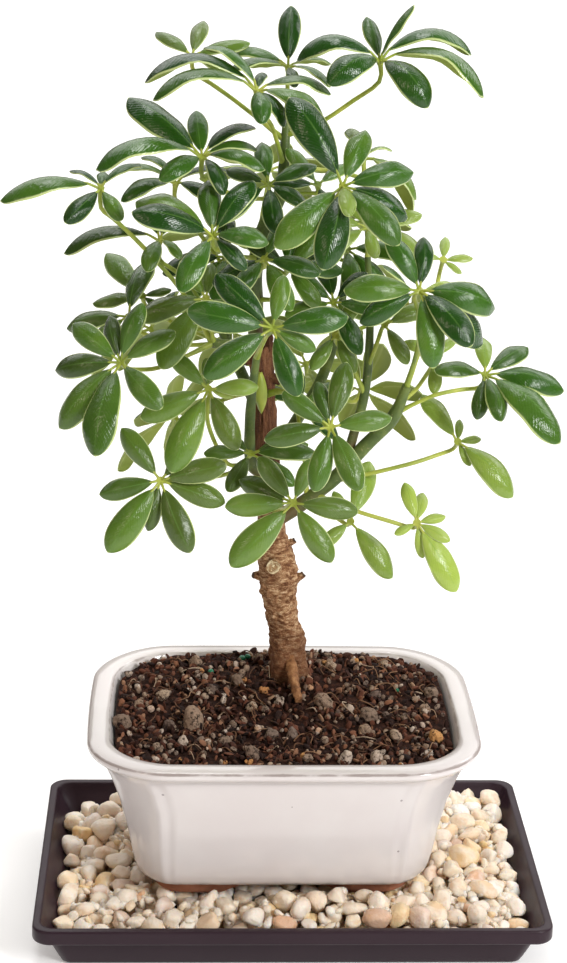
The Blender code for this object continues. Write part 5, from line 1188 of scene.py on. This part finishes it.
# How a leaflet may give way: swing round the hub, change of rise, change of length
GIVE_WAY = [(0, 0, 1.0)] + [
    (swing, rise, scale) for scale in (1.0, 0.9, 0.78) for swing, rise in
    ((6, 0), (-6, 0), (0, 9), (0, -9), (6, 9), (-6, 9), (6, -9), (-6, -9), (13, 0), (-13, 0),
     (0, 18), (0, -18), (13, 12), (-13, 12), (13, -12), (-13, -12))]
SWAYS = [(0, 0, 0)] + [
    (x * reach, y * reach, z * reach) for reach in (3, 6) for x, y, z in
    ((1, 0, 0), (-1, 0, 0), (0, 1, 0), (0, -1, 0), (0, 0, 1), (0, 0, -1))]


def grow_plant():
    """Work out every stalk and leaflet so that none runs through another."""
    wood = [Body(tube_rings(smooth_line(TRUNK_LINE, 2), CLEARANCE), "trunk")]
    for root, tip, wide, slim in TWIG_STUBS + STUMP_SPLINTERS:
        wood.append(Body(tube_rings([(*root, wide), (*tip, slim)], CLEARANCE), "trunk"))
    for name, line in STEMS.items():
        wood.append(Body(tube_rings(smooth_line(line, 2), CLEARANCE), name))
    wood.append(Body(tube_rings(smooth_line(UPRIGHT_SHOOT, 2), CLEARANCE), "right_branch"))
    stalks = []
    whorls = whorl_list()
    for name, stem, start, bends, hub, facing, rise, arch, leaflets in whorls:
        for sway in SWAYS:
            line = stalk_line(start, bends, hub, facing, sway)
            body = Body(tube_rings(line, CLEARANCE), name)
            free = Body(tube_rings(line[2:], CLEARANCE), name)
            others = [item for item in wood if item.owner != stem] + [item[2] for item in stalks]
            if not any((body if other.owner in STEMS or other.owner == "trunk" else free).meets(other)
                       for other in others):
                break
        stalks.append((name, line, free, body))
    placed = []
    for (name, stem, start, bends, hub, facing, rise, arch, leaflets), stalk in zip(whorls, stalks):
        for number, row in enumerate(leaflets):
            bearing, reach = row[:2]
            own_rise, own_arch, roll = (*row[2:], *(rise, arch, 0)[len(row) - 2:])
            for swing, lift, scale in GIVE_WAY:
                leaflet = Leaflet(hub, facing, bearing + swing, reach * scale, own_rise + lift, own_arch,
                                  roll)
                whole = Body(leaflet.rings(leaflet.shares(0.06), CLEARANCE), name)
                outer = Body(leaflet.rings(leaflet.shares(0.30), CLEARANCE), name)
                if whole.low.z < LOWEST_LEAF:
                    continue
                if any(whole.meets(item) for item in wood):
                    continue
                if any(outer.meets(item[3]) if item[0] == name else whole.meets(item[3]) for item in stalks):
                    continue
                if any(outer.meets(item[3]) if item[0] == name else whole.meets(item[2]) for item in placed):
                    continue
                placed.append((name, leaflet, whole, outer, stem, number))
                break
    return [item[:2] for item in stalks], [(item[0], item[4], item[5], item[1]) for item in placed]


# The finishes of a growth, in the order that its faces name them
TOP_SLOT, UNDER_SLOT, STALK_SLOT, WOOD_SLOT = range(4)


def fine_leaflet(leaflet, draw, youth, tint):
    """A leaflet's blade with its two faces and rim, and its little stalk."""
    rows, columns = 17, 11
    full = LEAFLET_ASPECT * leaflet.length * (1 - LEAFLET_STALK) / 2
    phase, sickle, cup = draw.uniform(0, math.tau), draw.uniform(-0.06, 0.06), draw.uniform(0.38, 0.58)
    wave, twist = draw.uniform(0.03, 0.10), draw.uniform(-0.20, 0.20)
    top, under, places = [], [], []
    for row in range(rows):
        share = math.sin(math.pi / 2 * row / (rows - 1)) ** 1.15
        centre, _, normal = leaflet.row(LEAFLET_STALK + (1 - LEAFLET_STALK) * share)
        roll = twist * share * share
        side = leaflet.side * math.cos(roll) + normal * math.sin(roll)
        normal = normal * math.cos(roll) - leaflet.side * math.sin(roll)
        half = max(full * blade_width(share), 0.35 if row == 0 else 0.25)
        centre = centre + side * (sickle * full * math.sin(math.pi * share))
        for column in range(columns):
            across = -1 + 2 * column / (columns - 1)
            groove = 0.16 * math.exp(-(across * 5) ** 2) * math.sin(math.pi * min(share * 1.1, 1))
            drop = cup * half * abs(across) ** 1.8 + groove
            ripple = wave * half * across * across * math.sin(share * 11 + phase + (1.7 if across > 0 else 0))
            point = centre + side * (half * across) + normal * (ripple - drop + 0.15)
            top.append(point)
            under.append(point - normal * (0.34 + 0.25 * math.exp(-(across * 4) ** 2) * (1 - share)))
            places.append((across, share, 0.0))
    count = rows * columns
    faces, slots = [], []
    for row in range(rows - 1):
        for column in range(columns - 1):
            a, b = row * columns + column, (row + 1) * columns + column
            faces.append((a, b, b + 1, a + 1))
            faces.append((a + count, a + 1 + count, b + 1 + count, b + count))
            slots += [TOP_SLOT, UNDER_SLOT]
        a, b = row * columns, (row + 1) * columns
        faces.append((a, a + count, b + count, b))
        a, b = a + columns - 1, b + columns - 1
        faces.append((a, b, b + count, a + count))
        slots += [TOP_SLOT] * 2
    last = (rows - 1) * columns
    for column in range(columns - 1):
        faces.append((last + column, last + column + count, last + column + 1 + count, last + column + 1))
        faces.append((column + 1, column + 1 + count, column + count, column))
        slots += [TOP_SLOT] * 2
    line = []
    for share in (0.02, 0.06, 0.10, 0.14, 0.18, 0.24, 0.32):
        centre, _, normal = leaflet.row(share)
        line.append((*(centre - normal * (0.0 if share < 0.15 else 0.32)), 0.60 - 0.9 * share))
    stalk_points, stalk_faces = tube_shape(line, 7)
    faces += [tuple(index + 2 * count for index in face) for face in stalk_faces]
    slots += [STALK_SLOT] * len(stalk_faces)
    points = [tuple(point) for point in (*top, *under, *stalk_points)]
    values = {"blade": places * 2 + [(0.0, 0.0, 0.0)] * len(stalk_points), "tint": [tint] * len(points),
              "youth": [youth] * len(points)}
    return points, faces, slots, values


def fine_tube(line, sides, steps, slot, youth, draw, rough):
    """A stem or leaf stalk, slightly uneven in width; its blade value runs from foot to tip."""
    line = smooth_line(line, steps) if steps > 1 else line
    phase = draw.uniform(0, math.tau)
    points, faces = tube_shape(line, sides, lambda t, angle: 1 + rough * (
        0.5 * math.sin(2 * angle + t * 7 + phase) + 0.5 * math.sin(t * 31 + phase)))
    share = np.repeat(np.linspace(0, 1, len(line)), sides)
    count = len(points)
    values = {"blade": np.column_stack((np.zeros(count), share, np.zeros(count))),
              "tint": [draw.uniform()] * count, "youth": [youth] * count}
    return points, faces, slot, values


# How young each whorl is: 0 is full grown and dark, 1 is fresh and pale
WHORL_YOUTH = {
    "young_low_right": 0.95, "right_pale": 0.60, "young_right": 0.55, "young_top_right": 0.75,
    "low_right": 0.55, "young_left": 0.22, "young_top_left": 0.25, "low_left": 0.20, "low_centre": 0.22,
    "left": 0.10, "left_middle": 0.22, "trunk_side": 0.15, "far_right": 0.04, "middle": 0.14,
    "shoot_tip": 0.55, "inner_right": 0.35, "inner_centre": 0.30, "behind_right": 0.30,
    "left_upright": 0.15, "left_behind": 0.10}
# Leaflets that have only just opened, by whorl and place in it
FRESH_LEAFLETS = {("right", 8): 0.9, ("right", 9): 0.85, ("young_left", 6): 1.0,
                  ("young_left", 5): 0.5, ("far_right", 5): 0.5, ("centre_right", 5): 0.5}
# Stems that are one leaf's stalk and carry no wood
ALL_STALK = ("low_front_leaf", "middle_leaf")

leaf_top, tree, shader = finish_of("leaf_upper_face", 0.3, Specular_IOR_Level=0.15, Coat_Weight=0.68,
                                   Coat_Roughness=0.15, Subsurface_Weight=0.0)
leaf_place = point_value(tree, "blade", True)
leaf_across = calc(tree, "ABSOLUTE", part_of(tree, leaf_place, "X"))
leaf_along = part_of(tree, leaf_place, "Y")
leaf_patch = cloud(tree, 55, 3)
leaf_depth = scaled(tree, point_value(tree, "tint"), 0.65, scaled(tree, leaf_patch, 0.5))
leaf_grown = colour_steps(tree, leaf_depth, (
    (0.15, (0.004, 0.022, 0.002)), (0.45, (0.013, 0.064, 0.004)), (0.75, (0.042, 0.125, 0.010)),
    (1.0, (0.115, 0.210, 0.022))))
leaf_fresh = blend_colour(tree, leaf_patch, (0.26, 0.41, 0.045), (0.48, 0.58, 0.12))
leaf_green = blend_colour(tree, point_value(tree, "youth"), leaf_grown, leaf_fresh)
leaf_rib = calc(tree, "MULTIPLY", between(tree, leaf_across, 0.075, 0.015),
                scaled(tree, leaf_along, -0.45, 0.55))
leaf_ribbed = blend_colour(tree, leaf_rib, leaf_green, (0.14, 0.29, 0.06))
vein_run = scaled(tree, leaf_along, 62.0, scaled(tree, leaf_across, -17.0))
vein_wave = calc(tree, "POWER", calc(tree, "ABSOLUTE", calc(tree, "SINE", vein_run)), 7.0)
leaf_veined = blend_colour(tree, vein_wave, leaf_ribbed, (0.12, 0.28, 0.06), 0.04)
# Pale line along the blade's edge and round its tip: partly the leaflet's own paler margin, partly painted
# rim light where the edge catches the light.
leaf_margin_and_rim_light = calc(tree, "MAXIMUM", between(tree, leaf_across, 0.90, 0.97),
                 between(tree, leaf_along, 0.978, 0.996))
leaf_margin_and_rim_lit = blend_colour(tree, leaf_margin_and_rim_light, leaf_veined, (0.56, 0.66, 0.27), 0.90)
tree.links.new(leaf_margin_and_rim_lit, shader.inputs["Base Color"])
tree.links.new(scaled(tree, cloud(tree, 130, 4), 0.42, 0.06), shader.inputs["Roughness"])
leaf_relief = node_in(tree, "ShaderNodeGroup", {"Coarse Scale": 210, "Fine Scale": 700, "Fine Share": 0.4},
                      node_tree=RELIEF).outputs["Height"]
vein_sunk = scaled(tree, vein_wave, -0.07)
leaf_height = scaled(tree, leaf_relief, 0.9, vein_sunk)
coat_height = scaled(tree, cloud(tree, 210, 4), 0.65, scaled(tree, cloud(tree, 700, 3), 0.25, vein_sunk))
for height, strength, distance, socket in (
        (leaf_height, 0.6, 0.0007, "Normal"), (coat_height, 0.7, 0.0010, "Coat Normal")):
    bump = node_in(tree, "ShaderNodeBump", {"Strength": strength, "Distance": distance, "Height": height})
    tree.links.new(bump.outputs[0], shader.inputs[socket])

leaf_under, tree, shader = finish_of("leaf_under_face", 0.55, Specular_IOR_Level=0.35)
under_across = calc(tree, "ABSOLUTE", part_of(tree, point_value(tree, "blade", True), "X"))
under_tone = blend_colour(tree, cloud(tree, 60, 3), (0.21, 0.29, 0.050), (0.38, 0.44, 0.10))
under_fresh = blend_colour(tree, point_value(tree, "youth"), under_tone, (0.50, 0.56, 0.13), 0.8)
under_rib = between(tree, under_across, 0.13, 0.03)
lay_on(tree, shader, blend_colour(tree, under_rib, under_fresh, (0.42, 0.48, 0.15), 0.6),
       300, 900, 0.3, 0.3, 0.0004)

leaf_stalk, tree, shader = finish_of("leaf_stalk", 0.42, Specular_IOR_Level=0.45)
stalk_tone = colour_steps(tree, cloud(tree, 90, 4), (
    (0.30, (0.16, 0.24, 0.026)), (0.50, (0.30, 0.37, 0.042)), (0.70, (0.47, 0.50, 0.080))))
lay_on(tree, shader, blend_colour(tree, point_value(tree, "youth"), stalk_tone, (0.58, 0.60, 0.12), 0.5),
       200, 1500, 0.4, 0.25, 0.0003)

green_wood, tree, shader = finish_of("green_stem_skin", 0.5, Specular_IOR_Level=0.4)
wood_rise = part_of(tree, point_value(tree, "blade", True), "Y")
wood_tone = colour_steps(tree, cloud(tree, 110, 5, 0.6), (
    (0.30, (0.045, 0.070, 0.018)), (0.50, (0.085, 0.130, 0.028)), (0.72, (0.17, 0.22, 0.045))))
wood_brown = between(tree, scaled(tree, cloud(tree, 160, 5), 0.5, wood_rise), 0.62, 0.30)
wood_aged = blend_colour(tree, wood_brown, wood_tone, (0.13, 0.065, 0.028), 0.85)
wood_spots = between(tree, cloud(tree, 700, 3), 0.64, 0.70)
lay_on(tree, shader, blend_colour(tree, wood_spots, wood_aged, (0.32, 0.26, 0.14), 0.5),
       260, 1300, 0.45, 0.5, 0.0005)

stalks, leaflets = grow_plant()
stem_of = {row[0]: row[1] for row in whorl_list()}
for number, (stem, line) in enumerate(STEMS.items()):
    draw = np.random.default_rng(100 + number)
    parts = [fine_tube(line, 16, 10, STALK_SLOT if stem in ALL_STALK else WOOD_SLOT, 0.0, draw, 0.05)]
    if stem == "right_branch":
        parts.append(fine_tube(UPRIGHT_SHOOT, 14, 10, WOOD_SLOT, 0.1, draw, 0.05))
    for name, stalk in stalks:
        if stem_of[name] == stem:
            stalk = smooth_line(stalk, 3)
            hub = Vector(stalk[-1][:3])
            slim = []
            for i, point in enumerate(stalk):
                at_foot = max(0.0, 1 - i / 3)
                at_hub = max(0.0, 1 - (hub - Vector(point[:3])).length / 2.6)
                slim.append((*point[:3], 0.85 + 0.55 * at_foot + 0.75 * at_hub))
            parts.append(fine_tube(slim, 10, 1, STALK_SLOT, WHORL_YOUTH.get(name, 0.0), draw, 0.04))
    for name, owner, place, leaflet in leaflets:
        if owner == stem:
            youth = FRESH_LEAFLETS.get((name, place), WHORL_YOUTH.get(name, 0.0) + draw.uniform(-0.06, 0.06))
            parts.append(fine_leaflet(leaflet, draw, max(0.0, youth), draw.uniform()))
    points, faces, slots, values = gather(parts)
    spray = shape_piece(stem + "_growth", points, faces, [leaf_top, leaf_under, leaf_stalk, green_wood],
                        slots, values, sharp=60, place=POT_PLACE)
    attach(spray, "root")
    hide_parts(stem)

# one dry, pale bud scale still clings to the front of the trunk below the stump
bract_rows, bract_columns = 15, 5
bract_points = []
for row in range(bract_rows):
    share = row / (bract_rows - 1)
    middle = Vector((-10.6, 11.6, 221.0)).lerp(Vector((-10.0, 12.3, 204.0)), share)
    half = 2.5 * math.sin(math.pi * (0.05 + 0.93 * share)) ** 0.8
    for column in range(bract_columns):
        across = -1 + 2 * column / (bract_columns - 1)
        bract_points.append((middle.x + half * across, middle.y - 1.6 * math.sin(math.pi * share)
                             + 1.1 * across * across, middle.z))
bract_back = [(x, y + 0.4, z) for x, y, z in bract_points]
bract_points, bract_faces = loft_faces([bract_points[i:i + 5] + bract_back[i:i + 5][::-1]
                                        for i in range(0, len(bract_points), 5)])
bract = shape_piece("dry_bract", bract_points, bract_faces, [leaf_stalk],
                    values={"youth": [0.5] * len(bract_points)}, sharp=50, place=POT_PLACE)
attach(bract, "root")
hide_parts("trunk")


# Table and light
# A white sheet to stand on, faintly lit from below, a soft light at the front left, a stronger one to the
# right, one overhead, one behind at the right and a bright backdrop, and a camera that looks down a little.

stage_finish, tree, shader = finish_of("lit_white_table", 0.6, Specular_IOR_Level=0.3,
                                       Emission_Color=(1.0, 1.0, 1.0, 1.0), Emission_Strength=0.22)
stage_tone = blend_colour(tree, cloud(tree, 3.0, 2), (0.90, 0.90, 0.90), (0.93, 0.93, 0.925))
tree.links.new(stage_tone, shader.inputs["Base Color"])
TABLE_Z = -0.0002
stage_mesh = bpy.data.meshes.new("table_top")
stage_mesh.from_pydata([(x, y, TABLE_Z) for x, y in ((-4, -3), (4, -3), (4, 5), (-4, 5))], [], [(0, 1, 2, 3)])
stage_mesh.materials.append(stage_finish)
table_top = bpy.data.objects.new("table_top", stage_mesh)
bpy.context.scene.collection.objects.link(table_top)

room = bpy.data.worlds.new("bright_room")
bpy.context.scene.world = room
room.use_nodes = True
room.node_tree.nodes["Background"].inputs[0].default_value = (1.0, 0.86, 0.74, 1.0)
room.node_tree.nodes["Background"].inputs[1].default_value = 0.13


def soft_light(name, spot, target, width, height, power, colour=(1.0, 1.0, 1.0)):
    light = bpy.data.lights.new(name, "AREA")
    light.shape = "RECTANGLE"
    light.size = width
    light.size_y = height
    light.energy = power
    light.color = colour
    lamp = bpy.data.objects.new(name, light)
    bpy.context.scene.collection.objects.link(lamp)
    lamp.location = spot
    lamp.rotation_euler = (Vector(target) - Vector(spot)).to_track_quat("-Z", "Y").to_euler()


soft_light("left_front_softbox", (-0.90, -1.00, 0.95), (0, 0, 0.16), 0.18, 0.5, 3.0, (1.0, 0.80, 0.66))
soft_light("right_front_softbox", (0.85, -1.05, 0.85), (0, 0, 0.16), 0.40, 0.50, 18.2)
soft_light("overhead_softbox", (-0.10, 0.15, 1.35), (0, 0, 0.2), 0.4, 0.35, 4.8)
soft_light("right_back_softbox", (1.00, 0.50, 0.85), (0, 0, 0.22), 0.5, 0.6, 3.0)
soft_light("backdrop_panel", (0.0, 2.6, 1.9), (0, 2.6, 0.0), 4.6, 3.8, 104.0)

VIEW_FROM = (-40.87, -857.76, 469.10)
VIEW_TURN = 0.0420
VIEW_DIP = 0.3242
VIEW_ROLL = 0.0199
VIEW_LENS = 86.7
camera = bpy.data.cameras.new("camera")
camera.sensor_fit = "VERTICAL"
camera.sensor_height = 36.0
camera.lens = VIEW_LENS
camera.clip_start = 0.02
camera.clip_end = 20.0
eye = bpy.data.objects.new("camera", camera)
bpy.context.scene.collection.objects.link(eye)
eye.matrix_world = (Matrix.Translation(Vector(VIEW_FROM) * MM) @ Matrix.Rotation(-VIEW_TURN, 4, "Z")
                    @ Matrix.Rotation(math.pi / 2 - VIEW_DIP, 4, "X") @ Matrix.Rotation(VIEW_ROLL, 4, "Z"))
bpy.context.scene.camera = eye
bpy.context.scene.view_settings.view_transform = "Standard"
